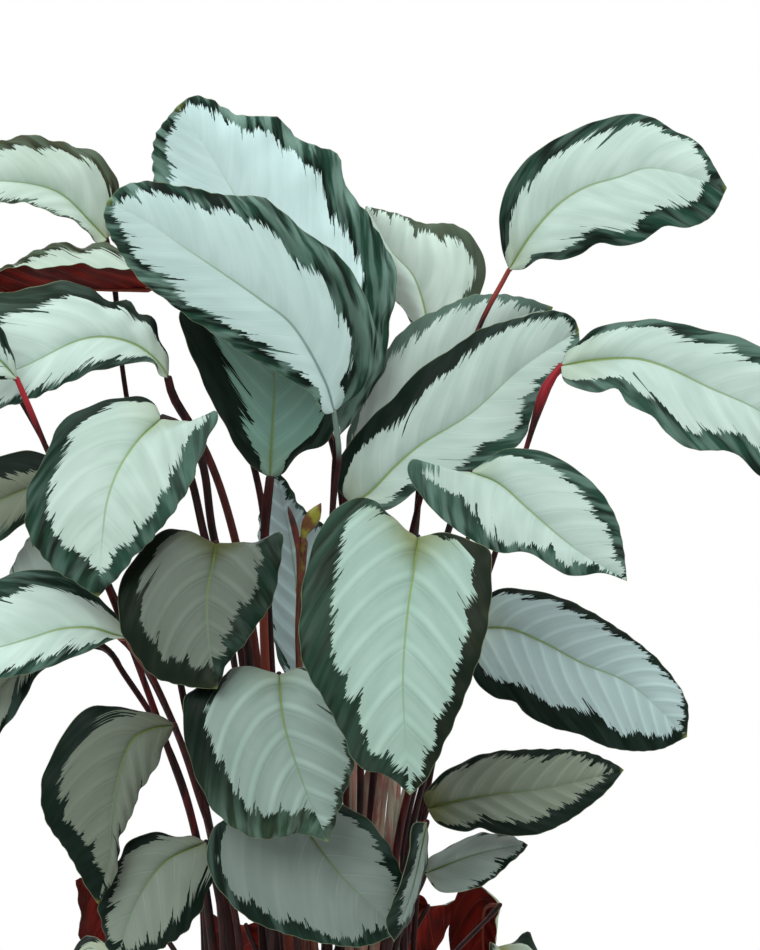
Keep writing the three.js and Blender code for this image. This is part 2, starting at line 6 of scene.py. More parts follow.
import bpy
import numpy as np
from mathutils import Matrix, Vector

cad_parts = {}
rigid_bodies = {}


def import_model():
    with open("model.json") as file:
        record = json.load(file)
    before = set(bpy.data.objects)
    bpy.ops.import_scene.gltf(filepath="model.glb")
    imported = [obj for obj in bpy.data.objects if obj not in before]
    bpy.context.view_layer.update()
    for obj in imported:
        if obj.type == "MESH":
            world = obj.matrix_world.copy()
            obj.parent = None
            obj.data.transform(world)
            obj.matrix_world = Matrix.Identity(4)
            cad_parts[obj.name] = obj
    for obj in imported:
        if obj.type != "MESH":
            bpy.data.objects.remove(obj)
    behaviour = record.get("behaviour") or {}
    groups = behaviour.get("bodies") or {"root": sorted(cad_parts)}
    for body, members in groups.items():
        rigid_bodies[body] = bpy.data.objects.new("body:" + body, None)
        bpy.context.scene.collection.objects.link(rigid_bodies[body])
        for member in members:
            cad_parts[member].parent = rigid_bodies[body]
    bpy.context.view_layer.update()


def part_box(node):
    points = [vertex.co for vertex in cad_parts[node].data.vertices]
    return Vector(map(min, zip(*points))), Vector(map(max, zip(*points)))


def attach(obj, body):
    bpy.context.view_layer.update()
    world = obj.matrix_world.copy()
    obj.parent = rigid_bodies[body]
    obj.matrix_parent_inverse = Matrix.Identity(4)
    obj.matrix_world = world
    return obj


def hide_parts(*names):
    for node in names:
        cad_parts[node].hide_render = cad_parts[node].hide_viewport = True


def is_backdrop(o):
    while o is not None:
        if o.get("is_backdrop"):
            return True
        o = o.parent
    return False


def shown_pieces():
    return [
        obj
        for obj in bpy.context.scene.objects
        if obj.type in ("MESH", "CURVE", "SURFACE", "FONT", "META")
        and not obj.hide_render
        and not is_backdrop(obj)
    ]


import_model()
body = "root"
mm = 0.001

picture = {  # the places below are pixels of a picture with this frame
    "pixel": 0.5 * mm,  # at the pot's axis
    "distance": 1.32,  # from the eye to the pot's axis
    "middle": (380, 475),
    "height": 950,
    "eye": (0.03, 0.4675),  # x and z
    "sensor": 36,
}
studio = {
    "white": 1.0,  # what the eye sees behind the plant
    "fill": 0.34,  # the light that comes from all round
    "lamps": {  # power, place and size of each soft lamp
        "front": (41, (-0.9, -2.2, 1.9), 1.6),
        "above": (26, (0.3, -0.4, 2.6), 1.8),
        "right": (11, (2.2, -0.9, 1.2), 1.6),
        "back": (26, (-0.6, 2.3, 1.8), 1.8),
    },
    "aim": (0, 0, 0.42),
    "floorRadius": 1.1,
    "floorSides": 96,
    "floorColour": (236, 235, 231),
}


def linear(red, green, blue):  # a colour from 0 to 255, as a shader takes it
    def channel(value):
        value /= 255
        return value / 12.92 if value <= 0.04045 else ((value + 0.055) / 1.055) ** 2.4

    return (channel(red), channel(green), channel(blue), 1)


def palette(colours):
    return {name: linear(*colour) for name, colour in colours.items()}


class Wire:  # a socket that sums can be written with
    def __init__(self, tree, socket):
        self.tree, self.socket = tree, socket

    def maths(self, operation, *values):
        return self.tree.node("ShaderNodeMath", {"operation": operation}, values)

    def __add__(self, other):
        return self.maths("ADD", self, other)

    def __sub__(self, other):
        return self.maths("SUBTRACT", self, other)

    def __rsub__(self, other):
        return self.maths("SUBTRACT", other, self)

    def __mul__(self, other):
        return self.maths("MULTIPLY", self, other)

    def __truediv__(self, other):
        return self.maths("DIVIDE", self, other)

    def __pow__(self, other):
        return self.maths("POWER", self, other)

    __radd__ = __add__
    __rmul__ = __mul__

    def __neg__(self):
        return 0 - self

    def fraction(self):
        return self.maths("FRACT", self)

    def size(self):
        return self.maths("ABSOLUTE", self)

    def root(self):
        return self.maths("SQRT", self)

    def exponential(self):
        return self.maths("EXPONENT", self)

    def atLeast(self, other):
        return self.maths("MAXIMUM", self, other)

    def rise(self, low, high):  # 0 up to low, 1 from high on, smooth between
        settings = {"interpolation_type": "SMOOTHSTEP"}
        return self.tree.node("ShaderNodeMapRange", settings, (self, low, high))

    def fall(self, low, high):
        return 1 - self.rise(low, high)

    def parts(self):
        node = self.tree.node("ShaderNodeSeparateXYZ", {}, (self,)).socket.node
        return [Wire(self.tree, socket) for socket in node.outputs]


class Tree:
    def __init__(self, tree):
        self.tree = tree

    def node(self, kind, settings, inputs, output=0):
        node = self.tree.nodes.new(kind)
        for key, value in settings.items():
            setattr(node, key, value)
        for key, value in inputs.items() if isinstance(inputs, dict) else enumerate(inputs):
            if isinstance(value, Wire):
                self.tree.links.new(value.socket, node.inputs[key])
            else:
                node.inputs[key].default_value = value
        return Wire(self, node.outputs[output]) if node.outputs else None

    def point(self, x, y, z):
        return self.node("ShaderNodeCombineXYZ", {}, (x, y, z))

    def vectors(self, operation, first, second):
        return self.node("ShaderNodeVectorMath", {"operation": operation}, (first, second))

    def scaled(self, vector, factor):
        plain = vector if isinstance(vector, Wire) else vector[:3]
        return self.node("ShaderNodeVectorMath", {"operation": "SCALE"}, {"Vector": plain, "Scale": factor})


class Shader(Tree):  # the nodes of a material
    def __init__(self, name):
        self.material = bpy.data.materials.new(name)
        self.material.use_nodes = True
        super().__init__(self.material.node_tree)
        self.tree.nodes.clear()

    def attribute(self, name):
        return self.node("ShaderNodeAttribute", {"attribute_name": name}, {}, "Vector").parts()

    def here(self):
        return self.node("ShaderNodeTexCoord", {}, {}, "Object")

    def noise(self, vector, scale=1.0, detail=2.0, roughness=0.5):
        inputs = {"Vector": vector, "Scale": scale, "Detail": detail, "Roughness": roughness}
        return self.node("ShaderNodeTexNoise", {}, inputs)

    def drawnOut(self, sizes, detail):  # noise with its own fineness along x, y and z
        return self.noise(self.vectors("MULTIPLY", self.here(), sizes), 1.0, detail)

    def mix(self, factor, first, second):  # sockets 0, 6 and 7 are the colour mix's own
        settings = {"data_type": "RGBA"}
        return self.node("ShaderNodeMix", settings, {0: factor, 6: first, 7: second}, 2)

    def tint(self, colour, paints, amounts):  # lays the named paints over a colour, one after another
        for name, amount in amounts:
            colour = self.mix(amount, colour, paints[name])
        return colour

    def surface(self, colour, roughness, relief=None, depth=0.0, specular=0.5):
        inputs = {"Base Color": colour, "Roughness": roughness, "Specular IOR Level": specular}
        if relief:
            bump = {"Height": relief, "Distance": depth, "Strength": 1.0}
            inputs["Normal"] = self.node("ShaderNodeBump", {}, bump, "Normal")
        shaded = self.node("ShaderNodeBsdfPrincipled", {}, inputs)
        self.node("ShaderNodeOutputMaterial", {}, {"Surface": shaded})
        return self.material


class Grower(Tree):  # a Geometry Nodes tree; its inputs are given as names for each kind
    def __init__(self, name, inputs, outcome):
        super().__init__(bpy.data.node_groups.new(name, "GeometryNodeTree"))
        face = self.tree.interface
        self.ids = {}
        for kind, titles in inputs.items():
            for title in titles:
                socket = face.new_socket(title, in_out="INPUT", socket_type="NodeSocket" + kind)
                self.ids[title] = socket.identifier
        face.new_socket(outcome, in_out="OUTPUT", socket_type="NodeSocketGeometry")
        given = self.node("NodeGroupInput", {}, {}).socket.node.outputs
        self.given = {title: Wire(self, given[title]) for title in self.ids}

    def end(self, geometry):
        real = self.node("GeometryNodeRealizeInstances", {}, (geometry,))
        inputs = {"Geometry": real, "Material": self.given["Material"]}
        self.node("NodeGroupOutput", {}, (self.node("GeometryNodeSetMaterial", {}, inputs),))
        return self

    def putOn(self, holder, values):
        modifier = holder.modifiers.new(self.tree.name, "NODES")
        modifier.node_group = self.tree
        for key, value in values.items():
            modifier[self.ids[key]] = value


def makeAir():  # white to the eye, dimmer as a light
    world = bpy.data.worlds.new("world")
    bpy.context.scene.world = world
    world.use_nodes = True
    world.node_tree.nodes.clear()
    air = Tree(world.node_tree)
    seen = air.node("ShaderNodeLightPath", {}, {}, "Is Camera Ray")
    strength = air.node("ShaderNodeMix", {}, {0: seen, 2: studio["fill"], 3: studio["white"]})
    backdrop = air.node("ShaderNodeBackground", {}, {"Color": (1, 1, 1, 1), "Strength": strength})
    air.node("ShaderNodeOutputWorld", {}, {"Surface": backdrop})


def makeLamps():
    aim = bpy.data.objects.new("aim", None)
    aim.location = studio["aim"]
    for name, (power, spot, size) in studio["lamps"].items():
        lamp = bpy.data.lights.new(name, "AREA")
        lamp.energy, lamp.size = power, size
        holder = bpy.data.objects.new(name, lamp)
        holder.location = spot
        away = holder.location - aim.location
        holder.rotation_euler = away.to_track_quat("Z", "Y").to_euler()
        bpy.context.collection.objects.link(holder)


def makeFloor():
    shader = Shader("paleFloor")
    grain = shader.noise(shader.here(), 60)
    colour = shader.scaled(linear(*studio["floorColour"]), 0.98 + 0.04 * grain)
    radius, count = studio["floorRadius"], studio["floorSides"]
    turns = [2 * math.pi * i / count for i in range(count)]
    ring = [(radius * math.cos(turn), radius * math.sin(turn), 0) for turn in turns]
    mesh = bpy.data.meshes.new("floor")
    mesh.from_pydata(ring, [], [list(range(count))])
    mesh.materials.append(shader.surface(colour, 0.8))
    floor = bpy.data.objects.new("floor", mesh)
    bpy.context.collection.objects.link(floor)
    floor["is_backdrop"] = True


def makeCamera():
    lens = bpy.data.cameras.new("camera")
    lens.sensor_width = picture["sensor"]
    lens.lens = lens.sensor_width * picture["distance"] / (picture["height"] * picture["pixel"])
    camera = bpy.data.objects.new("camera", lens)
    camera.location = (picture["eye"][0], -picture["distance"], picture["eye"][1])
    camera.rotation_euler = (math.pi / 2, 0, 0)
    bpy.context.collection.objects.link(camera)
    bpy.context.scene.camera = camera
    bpy.context.scene.view_settings.view_transform = "Standard"


makeAir()
makeLamps()
makeFloor()
makeCamera()
print("stage, lights and camera")

# Leaf shapes: each midrib from base to tip, then its edges, left and right as seen with the tip up.
# deep is the midrib's depth in mm at base, middle and tip; sides is how much deeper each edge lies.
# stem is where the petiole passes on its way up to the blade; foot is where it leaves the soil.
leaves = {
  "leaf_01": {
    "midrib": [[107, 240], [92, 224], [57, 192], [0, 181], [-78, 188]],
    "left": [[99, 243], [84, 230], [60, 215], [23, 204], [-45, 200]],
    "right": [[118, 222], [122, 200], [113, 173], [92, 151], [41, 138], [0, 140], [-45, 158]],
    "deep": [6, -12, -30], "sides": [-12, 14],
    "stem": [[124, 380, 16], [115, 290, 13]], "foot": [-28, 14],
  },
  "leaf_02": {
    "midrib": [[152, 287], [77, 288], [40, 287], [14, 290], [-32, 297]],
    "left": [[147, 277], [133, 270], [80, 266], [3, 271], [-18, 285]],
    "right": [[146, 268], [118, 252], [104, 240], [83, 246], [64, 244], [26, 254], [3, 268], [-18, 284]],
    "deep": [-18, -26, -36], "sides": [-22, 16],
    "stem": [[271, 660, 2], [268, 600, 0], [262, 505, -3], [240, 420, -5], [212, 352, -8], [180, 302, -14]],
    "foot": [-14, 12],
  },
  "leaf_03": {
    "midrib": [[334, 412], [325, 382], [292, 325], [261, 300], [184, 247], [147, 222], [107, 201]],
    "left": [[325, 414], [311, 394], [258, 362], [220, 338], [173, 306], [132, 271], [104, 218]],
    "right": [
      [349, 400], [369, 379], [377, 351], [369, 307], [349, 267], [312, 236], [259, 197],
      [234, 195], [176, 186], [145, 180], [122, 187],
    ],
    "deep": [-48, -72, -95], "sides": [-4, 14],
    "stem": [[333, 513, -34], [339, 455, -42]], "foot": [2, -12],
  },
  "leaf_04": {
    "midrib": [[168, 378], [162, 367], [138, 346], [107, 337], [80, 340], [18, 369], [-75, 398]],
    "left": [[160, 376], [153, 363], [122, 366], [92, 372], [66, 384], [31, 399], [0, 408], [-42, 412]],
    "right": [
      [169, 366], [168, 352], [153, 321], [138, 315], [127, 301], [107, 297], [86, 287],
      [40, 285], [0, 295], [-48, 332],
    ],
    "deep": [-48, -62, -75], "sides": [-8, 10],
    "stem": [[256, 655, -23], [230, 520, -32], [205, 450, -40], [173, 396, -46]], "foot": [-18, -8],
  },
  "leaf_04b": {
    "midrib": [[17, 379], [2, 362], [-30, 335], [-78, 292]],
    "left": [[2, 379], [-25, 374], [-58, 345]],
    "right": [[17, 366], [8, 344], [0, 329], [-25, 302], [-55, 288]],
    "deep": [-85, -95, -105], "sides": [-4, 6],
    "stem": [[196, 836, -62], [165, 740, -71], [112, 598, -79], [48, 452, -83]], "foot": [-42, -28],
  },
  "leaf_05": {
    "midrib": [[162, 418], [138, 441], [118, 471], [107, 502], [103, 531], [98, 597]],
    "left": [[193, 420], [217, 414], [207, 442], [190, 485], [179, 503], [158, 534], [130, 560], [110, 586]],
    "right": [
      [153, 404], [118, 396], [86, 406], [58, 428], [52, 441], [32, 477], [26, 515],
      [31, 540], [50, 567], [73, 580],
    ],
    "deep": [-88, -112, -118], "sides": [4, 8],
    "stem": [[251, 690, -52], [246, 640, -58], [214, 538, -66], [202, 462, -76], [184, 428, -86]],
    "foot": [-14, -20],
  },
  "leaf_06": {
    "midrib": [[66, 482], [30, 488], [0, 500], [-82, 528]],
    "left": [[52, 500], [25, 523], [0, 541], [-42, 545]],
    "right": [[58, 462], [44, 453], [20, 453], [0, 456], [-48, 482]],
    "deep": [-72, -78, -90], "sides": [-2, 6],
    "stem": [[211, 836, -32], [180, 740, -42], [115, 604, -58], [84, 530, -65]], "foot": [-42, -6],
  },
  "leaf_07": {
    "midrib": [[60, 642], [52, 600], [55, 560], [62, 515]],
    "left": [[32, 628], [11, 590], [17, 555], [38, 528]],
    "right": [[86, 628], [96, 590], [84, 545]],
    "deep": [-52, -55, -60], "sides": [2, 2],
    "stem": [[196, 836, -23], [165, 740, -35], [124, 674, -44], [109, 651, -47]], "foot": [-48, 2],
  },
  "leaf_08": {
    "midrib": [[127, 638], [115, 635], [92, 628], [61, 629], [31, 638], [0, 647], [-85, 665]],
    "left": [[113, 640], [84, 653], [41, 670], [0, 679], [-48, 684]],
    "right": [[122, 624], [98, 595], [73, 580], [53, 571], [23, 570], [0, 579], [-48, 612]],
    "deep": [-88, -98, -112], "sides": [-8, 10],
    "stem": [[211, 836, -57], [180, 740, -70], [152, 676, -82]], "foot": [-30, -32],
  },
  "leaf_09": {
    "midrib": [[78, 638], [40, 652], [0, 688], [-62, 762]],
    "left": [[68, 652], [50, 666], [36, 678], [20, 706], [0, 734], [-32, 760]],
    "right": [[54, 632], [0, 648], [-42, 682], [-62, 728]],
    "deep": [-66, -74, -86], "sides": [-4, 4],
    "stem": [[196, 836, -41], [165, 740, -51], [123, 673, -58], [106, 648, -61]], "foot": [-50, -16],
  },
  "leaf_10": {
    "midrib": [[216, 543], [212, 570], [208, 588], [208, 632], [217, 689]],
    "left": [[247, 542], [261, 538], [281, 534], [279, 570], [273, 601], [254, 629], [229, 663], [222, 678]],
    "right": [
      [190, 533], [169, 530], [156, 535], [132, 559], [121, 580], [119, 606], [122, 632],
      [153, 676], [191, 686],
    ],
    "deep": [-92, -114, -126], "sides": [4, 6],
    "stem": [[240, 700, -62], [222, 580, -84]], "foot": [-12, -28],
  },
  "leaf_11": {
    "midrib": [[279, 674], [284, 723], [303, 783], [328, 842]],
    "left": [[304, 668], [334, 700], [352, 735], [355, 758], [351, 779], [339, 806], [333, 830]],
    "right": [
      [250, 667], [231, 666], [221, 676], [193, 690], [185, 696], [183, 718], [186, 748],
      [200, 786], [218, 814], [249, 837], [276, 839], [304, 834],
    ],
    "deep": [-104, -130, -136], "sides": [6, 6],
    "stem": [[290, 800, -80], [282, 715, -100]], "foot": [-6, -40],
  },
  "leaf_12": {
    "midrib": [[418, 537], [414, 570], [408, 609], [403, 678], [406, 747], [410, 795]],
    "left": [[445, 533], [470, 539], [489, 551], [492, 572], [489, 618], [478, 662], [452, 727], [428, 777]],
    "right": [
      [406, 529], [389, 514], [363, 498], [335, 508], [320, 531], [306, 569], [300, 609],
      [302, 658], [320, 695], [341, 731], [359, 765], [391, 779],
    ],
    "deep": [-122, -158, -165], "sides": [-4, 6],
    "stem": [[383, 760, -84], [412, 610, -106]], "foot": [14, -34],
  },
  "leaf_13": {
    "midrib": [[336, 440], [320, 370], [285, 290], [228, 183], [206, 148], [177, 106]],
    "left": [[318, 405], [285, 360], [240, 310], [190, 250], [160, 205], [152, 165], [157, 133]],
    "right": [
      [352, 420], [378, 382], [388, 335], [394, 300], [394, 262], [374, 226], [349, 188],
      [337, 156], [302, 140], [279, 119], [243, 116], [223, 105], [195, 96],
    ],
    "deep": [10, 12, -8], "sides": [-4, 12],
    "stem": [[330, 560, 12]], "foot": [4, 8],
  },
  "leaf_14": {
    "midrib": [[270, 478], [273, 417], [274, 375], [262, 315], [238, 264]],
    "left": [[256, 470], [236, 447], [217, 413], [199, 373], [186, 341], [180, 312], [200, 278]],
    "right": [[283, 474], [292, 464], [306, 451], [328, 440], [336, 400], [320, 345], [285, 292]],
    "deep": [-16, -22, -40], "sides": [2, 2],
    "stem": [[265, 660, -10], [265, 530, -14]], "foot": [-8, 4],
  },
  "leaf_15": {
    "midrib": [[432, 348], [422, 299], [412, 274], [392, 252], [366, 206]],
    "left": [[418, 338], [405, 313], [395, 296], [378, 262], [362, 228]],
    "right": [[456, 332], [482, 291], [486, 274], [482, 254], [469, 234], [455, 224], [420, 222], [390, 212]],
    "deep": [78, 72, 60], "sides": [4, 8],
    "stem": [[391, 805, 46], [420, 480, 64]], "foot": [18, 26],
  },
  "leaf_16": {
    "midrib": [[345, 480], [395, 420], [450, 360], [505, 322], [553, 307]],
    "left": [
      [344, 458], [350, 432], [358, 404], [372, 374], [389, 345], [413, 323], [442, 307],
      [469, 297], [508, 294], [537, 302],
    ],
    "right": [[378, 478], [430, 446], [480, 404], [520, 356], [545, 328]],
    "deep": [24, 40, 36], "sides": [6, 0],
    "stem": [[345, 560, 26]], "foot": [14, 12],
  },
  "leaf_17": {
    "midrib": [[350, 503], [367, 495], [394, 468], [419, 446], [470, 414], [518, 371], [579, 330]],
    "left": [
      [336, 486], [336, 468], [347, 446], [370, 420], [394, 396], [422, 368], [450, 349],
      [478, 331], [505, 321], [537, 313], [556, 311], [574, 318],
    ],
    "right": [
      [362, 508], [389, 510], [419, 489], [445, 480], [470, 473], [493, 457], [516, 447],
      [526, 435], [534, 409], [555, 380], [568, 362], [579, 344],
    ],
    "deep": [-22, -22, -8], "sides": [8, -12],
    "stem": [[353, 800, -11], [352, 600, -16]], "foot": [12, -6],
  },
  "leaf_18": {
    "midrib": [[509, 270], [532, 234], [559, 204], [586, 187], [619, 177], [649, 168], [727, 188]],
    "left": [
      [502, 249], [499, 219], [507, 187], [529, 157], [564, 135], [599, 120], [636, 114],
      [656, 119], [672, 129], [698, 143], [714, 166],
    ],
    "right": [
      [524, 269], [539, 259], [561, 260], [581, 254], [599, 243], [619, 246], [641, 242],
      [666, 226], [686, 228], [711, 217],
    ],
    "deep": [14, -6, -10], "sides": [6, -6],
    "stem": [[371, 810, 2], [412, 531, 8], [478, 330, 10]], "foot": [26, 4],
  },
  "leaf_19": {
    "midrib": [[561, 366], [596, 360], [638, 359], [666, 367], [708, 387], [760, 411], [846, 472]],
    "left": [
      [566, 352], [582, 339], [596, 329], [618, 322], [645, 320], [673, 322], [708, 330],
      [760, 346], [812, 392], [838, 440],
    ],
    "right": [
      [564, 381], [582, 390], [596, 393], [617, 389], [627, 404], [652, 416], [666, 433],
      [691, 449], [734, 453], [760, 476], [812, 490],
    ],
    "deep": [-36, -52, -62], "sides": [6, -8],
    "stem": [[400, 830, -12], [494, 557, -26], [527, 446, -32], [547, 386, -35]], "foot": [34, -6],
  },
  "leaf_20": {
    "midrib": [[470, 472], [499, 484], [528, 509], [558, 535], [584, 555], [627, 581]],
    "left": [[491, 458], [501, 450], [524, 448], [544, 452], [568, 464], [588, 478], [607, 501], [621, 533]],
    "right": [
      [440, 469], [412, 460], [407, 470], [430, 507], [455, 529], [481, 545], [501, 553],
      [528, 553], [568, 575], [601, 573],
    ],
    "deep": [-78, -98, -104], "sides": [8, -4],
    "stem": [[379, 846, -44], [386, 780, -48], [447, 535, -66]], "foot": [24, -18],
  },
  "leaf_21": {
    "midrib": [[478, 628], [511, 629], [543, 642], [582, 663], [630, 684], [687, 737]],
    "left": [[482, 606], [494, 591], [530, 590], [563, 598], [591, 612], [630, 636], [668, 671], [687, 702]],
    "right": [
      [468, 652], [476, 682], [496, 698], [515, 702], [524, 713], [553, 728], [578, 734],
      [610, 748], [658, 750],
    ],
    "deep": [-40, -58, -62], "sides": [6, -8],
    "stem": [[410, 840, -28]], "foot": [44, -14],
  },
  "leaf_22": {
    "midrib": [[427, 809], [457, 801], [496, 794], [534, 790], [563, 785], [624, 770]],
    "left": [[424, 796], [431, 786], [448, 770], [476, 756], [515, 750], [553, 749], [591, 753], [614, 763]],
    "right": [
      [438, 824], [465, 832], [480, 828], [496, 834], [534, 835], [563, 824], [591, 805], [609, 789],
    ],
    "deep": [-72, -88, -92], "sides": [10, -8],
    "stem": [[384, 940, -50]], "foot": [36, -30],
  },
  "leaf_23": {
    "midrib": [[425, 874], [470, 856], [502, 848], [528, 845]],
    "left": [[430, 860], [457, 841], [480, 835], [505, 834], [519, 838]],
    "right": [[440, 892], [478, 887], [508, 866], [522, 853]],
    "deep": [-52, -62, -70], "sides": [14, -14],
    "stem": [[394, 960, -38]], "foot": [50, -26],
  },
  "leaf_24": {
    "midrib": [[175, 725], [154, 728], [134, 738], [123, 760], [116, 790], [112, 818], [110, 850], [98, 904]],
    "left": [[170, 738], [162, 752], [153, 771], [142, 790], [130, 816], [122, 834], [119, 856], [111, 884]],
    "right": [
      [164, 718], [148, 713], [130, 708], [114, 705], [94, 706], [76, 719], [57, 744], [45, 768],
      [41, 795], [44, 814], [53, 834], [69, 856], [83, 880],
    ],
    "deep": [-92, -104, -108], "sides": [2, 2],
    "stem": [[236, 920, -60], [196, 790, -80]], "foot": [-36, -40],
  },
  "leaf_25": {
    "midrib": [[206, 842], [165, 862], [135, 905], [115, 965]],
    "left": [[216, 862], [205, 902], [168, 946]],
    "right": [[190, 834], [160, 835], [138, 839], [122, 850], [104, 890], [102, 935]],
    "deep": [-76, -92, -96], "sides": [0, 4],
    "stem": [[222, 930, -64]], "foot": [-50, -36],
  },
  "leaf_26": {
    "midrib": [[290, 805], [310, 835], [345, 880], [402, 932]],
    "left": [[320, 796], [341, 803], [375, 827], [392, 850], [404, 888]],
    "right": [[250, 812], [216, 826], [206, 862], [240, 912], [298, 938], [360, 946]],
    "deep": [-96, -108, -112], "sides": [4, -4],
    "stem": [[272, 930, -74]], "foot": [-22, -50],
  },
  "leaf_27": {
    "midrib": [[427, 822], [421, 850], [412, 890], [394, 942]],
    "left": [[429, 836], [426, 860], [415, 908]],
    "right": [[413, 824], [410, 850], [397, 890], [386, 925]],
    "deep": [-100, -112, -120], "sides": [14, -10],
    "stem": [[392, 930, -70]], "foot": [26, -42],
  },
  "leaf_28": {
    "midrib": [[303, 692], [300, 620], [290, 540], [276, 468]],
    "left": [[284, 672], [269, 625], [258, 560], [262, 502]],
    "right": [[330, 670], [345, 600], [336, 550], [322, 524], [301, 505], [284, 479]],
    "deep": [38, 44, 40], "sides": [4, 4],
    "stem": [[306, 800, 30]], "foot": [2, 20],
  },
}

# Leaves out of the picture's sight, each shaped like one above, mirrored or not, and turned.
hiddenLeaves = {
  "back_leaf_01": {
    "like": "leaf_03", "mirror": True, "turn": 180, "size": 0.88, "at": [322, 400, 62],
    "stem": [[359, 810, 48], [350, 600, 60], [338, 470, 66]], "foot": [-6, 32],
  },
  "back_leaf_02": {
    "like": "leaf_12", "mirror": True, "turn": 180, "size": 0.9, "at": [412, 552, 112],
    "stem": [[364, 810, 84], [367, 780, 87], [381, 735, 92]], "foot": [14, 46],
  },
  "back_leaf_03": {
    "like": "leaf_17", "mirror": True, "turn": 180, "size": 0.9, "at": [366, 496, 96],
    "stem": [[396, 820, 60], [384, 640, 80]], "foot": [8, 42],
  },
  "back_leaf_04": {
    "like": "leaf_10", "mirror": True, "turn": 180, "size": 0.95, "at": [212, 550, 84],
    "stem": [[246, 740, 64]], "foot": [-18, 36],
  },
  "back_leaf_05": {
    "like": "leaf_05", "mirror": True, "turn": 180, "size": 0.92, "at": [158, 426, 70],
    "stem": [[245, 680, 50], [237, 630, 54], [207, 545, 62], [186, 465, 68]], "foot": [-24, 22],
  },
  "back_leaf_06": {
    "like": "leaf_21", "mirror": True, "turn": 180, "size": 0.9, "at": [490, 636, 62],
    "stem": [[404, 840, 40], [438, 720, 52], [472, 652, 60]], "foot": [38, 22],
  },
  "back_leaf_07": {
    "like": "leaf_11", "mirror": True, "turn": 180, "size": 0.9, "at": [276, 690, 104],
    "stem": [[290, 850, 82]], "foot": [-8, 48],
  },
  "back_leaf_08": {
    "like": "leaf_20", "mirror": True, "turn": 180, "size": 0.88, "at": [478, 480, 88],
    "stem": [[440, 700, 66]], "foot": [28, 36],
  },
  "back_leaf_09": {
    "like": "leaf_19", "mirror": True, "turn": 180, "size": 0.68, "at": [578, 358, 50],
    "stem": [[432, 760, 24], [494, 554, 36], [527, 446, 44], [547, 388, 48], [562, 366, 50]],
    "foot": [34, 14],
  },
  "right_leaf_01": {
    "like": "leaf_12", "turn": 78, "size": 0.45, "at": [558, 620, 34],
    "stem": [[399, 824, 9], [424, 736, 15], [466, 660, 24], [510, 640, 30]], "foot": [46, 6],
  },
  "right_leaf_02": {
    "like": "leaf_05", "turn": 100, "size": 0.38, "at": [664, 348, -2],
    "stem": [[430, 780, 2], [493, 556, -2], [527, 446, -4], [547, 388, -5], [572, 364, -5], [620, 354, -4]],
    "foot": [42, -4],
  },
  "right_leaf_03": {
    "like": "leaf_10", "turn": 70, "size": 0.9, "at": [496, 948, -20],
    "stem": [[442, 1006, -12]], "foot": [56, -8],
  },
  "right_leaf_04": {
    "like": "leaf_24", "mirror": True, "turn": 130, "size": 0.85, "at": [500, 905, 64],
    "stem": [[430, 990, 40]], "foot": [50, 26],
  },
  "left_leaf_01": {
    "like": "leaf_10", "turn": -80, "size": 0.9, "at": [-40, 300, 30],
    "stem": [[211, 836, 10], [180, 740, 14], [116, 600, 20], [49, 452, 25]], "foot": [-40, 12],
  },
  "left_leaf_02": {
    "like": "leaf_12", "turn": -100, "size": 0.75, "at": [-36, 470, 66],
    "stem": [[211, 836, 34], [180, 740, 42], [126, 644, 52], [56, 604, 58], [-10, 575, 63]],
    "foot": [-44, 24],
  },
  "left_leaf_03": {
    "like": "leaf_11", "turn": -85, "size": 0.85, "at": [-30, 660, 20],
    "stem": [[196, 836, 4], [165, 740, 8], [124, 673, 11], [107, 651, 13], [44, 632, 17]], "foot": [-56, 8],
  },
  "left_leaf_04": {
    "like": "leaf_24", "turn": -60, "size": 0.85, "at": [120, 960, -20],
    "stem": [[186, 1010, -16]], "foot": [-58, -12],
  },
  "left_leaf_05": {
    "like": "leaf_05", "turn": -130, "size": 0.85, "at": [118, 880, 84],
    "stem": [[180, 960, 56]], "foot": [-46, 38],
  },
  "low_leaf_01": {
    "like": "leaf_10", "turn": 160, "size": 0.9, "at": [246, 925, 104],
    "stem": [[272, 1000, 80]], "foot": [-26, 54],
  },
  "low_leaf_02": {
    "like": "leaf_05", "mirror": True, "turn": 200, "size": 0.85, "at": [428, 906, 110],
    "stem": [[380, 1000, 82]], "foot": [26, 56],
  },
}

# New growth in the middle of the clump; spindle is the place of the shoot's tip.
shoots = {
  "young_leaf": {
    "stem": [[299, 640, -38], [301, 570, -43], [304, 534, -45]], "foot": [-4, -22],
    "spindle": [321, 503, -48],
  },
  "flower_bud": {
    "stem": [[297, 640, -46], [299, 570, -50], [296, 536, -51]], "foot": [4, -26],
    "spindle": [288, 506, -53],
  },
}

# How wide the green border is, in mm at the shares of the length in borderPlaces, with the tip last.
# tone is how light the silver is: partly its own, partly painted shade on leaves deep in the clump and
# painted light on leaves that lie in shadow. warmth is its cast from bluish to olive, and sage how much
# greener it is, partly the green cast of painted shade.
# dark is how dark the border is at the left side's base and tip and at the right side's, partly painted
# shade where a border lies in shade, and olive how brownish its two sides are.
# rake is how far the side veins lean to the tip, pitch how many mm lie between two of them along the
# midrib, fold how deep the blade dips between them and how bright the painted light on the crests
# between them is, and wave how much the edge waves. gloss is how much painted sheen lies in patches on
# the border, and dusk how much the silver turns olive near the base.
borderPlaces = (0.0, 0.1, 0.3, 0.55, 0.85, 1.0)
plainLook = {
    "left": (2, 6, 7, 5),
    "right": (2, 6, 7, 5),
    "tip": 4,
    "toneAndShade": 0.9,
    "warmth": 0.0,
    "sage": 0.0,
    "dark": (0.0, 0.0, 0.0, 0.0),
    "olive": (0.0, 0.0),
    "rake": 1.0,
    "pitch": 11.5,
    "foldAndCrestLight": 0.2,
    "wave": 0.45,
    "paintedSheen": 0.5,
    "dusk": 0.35,
}
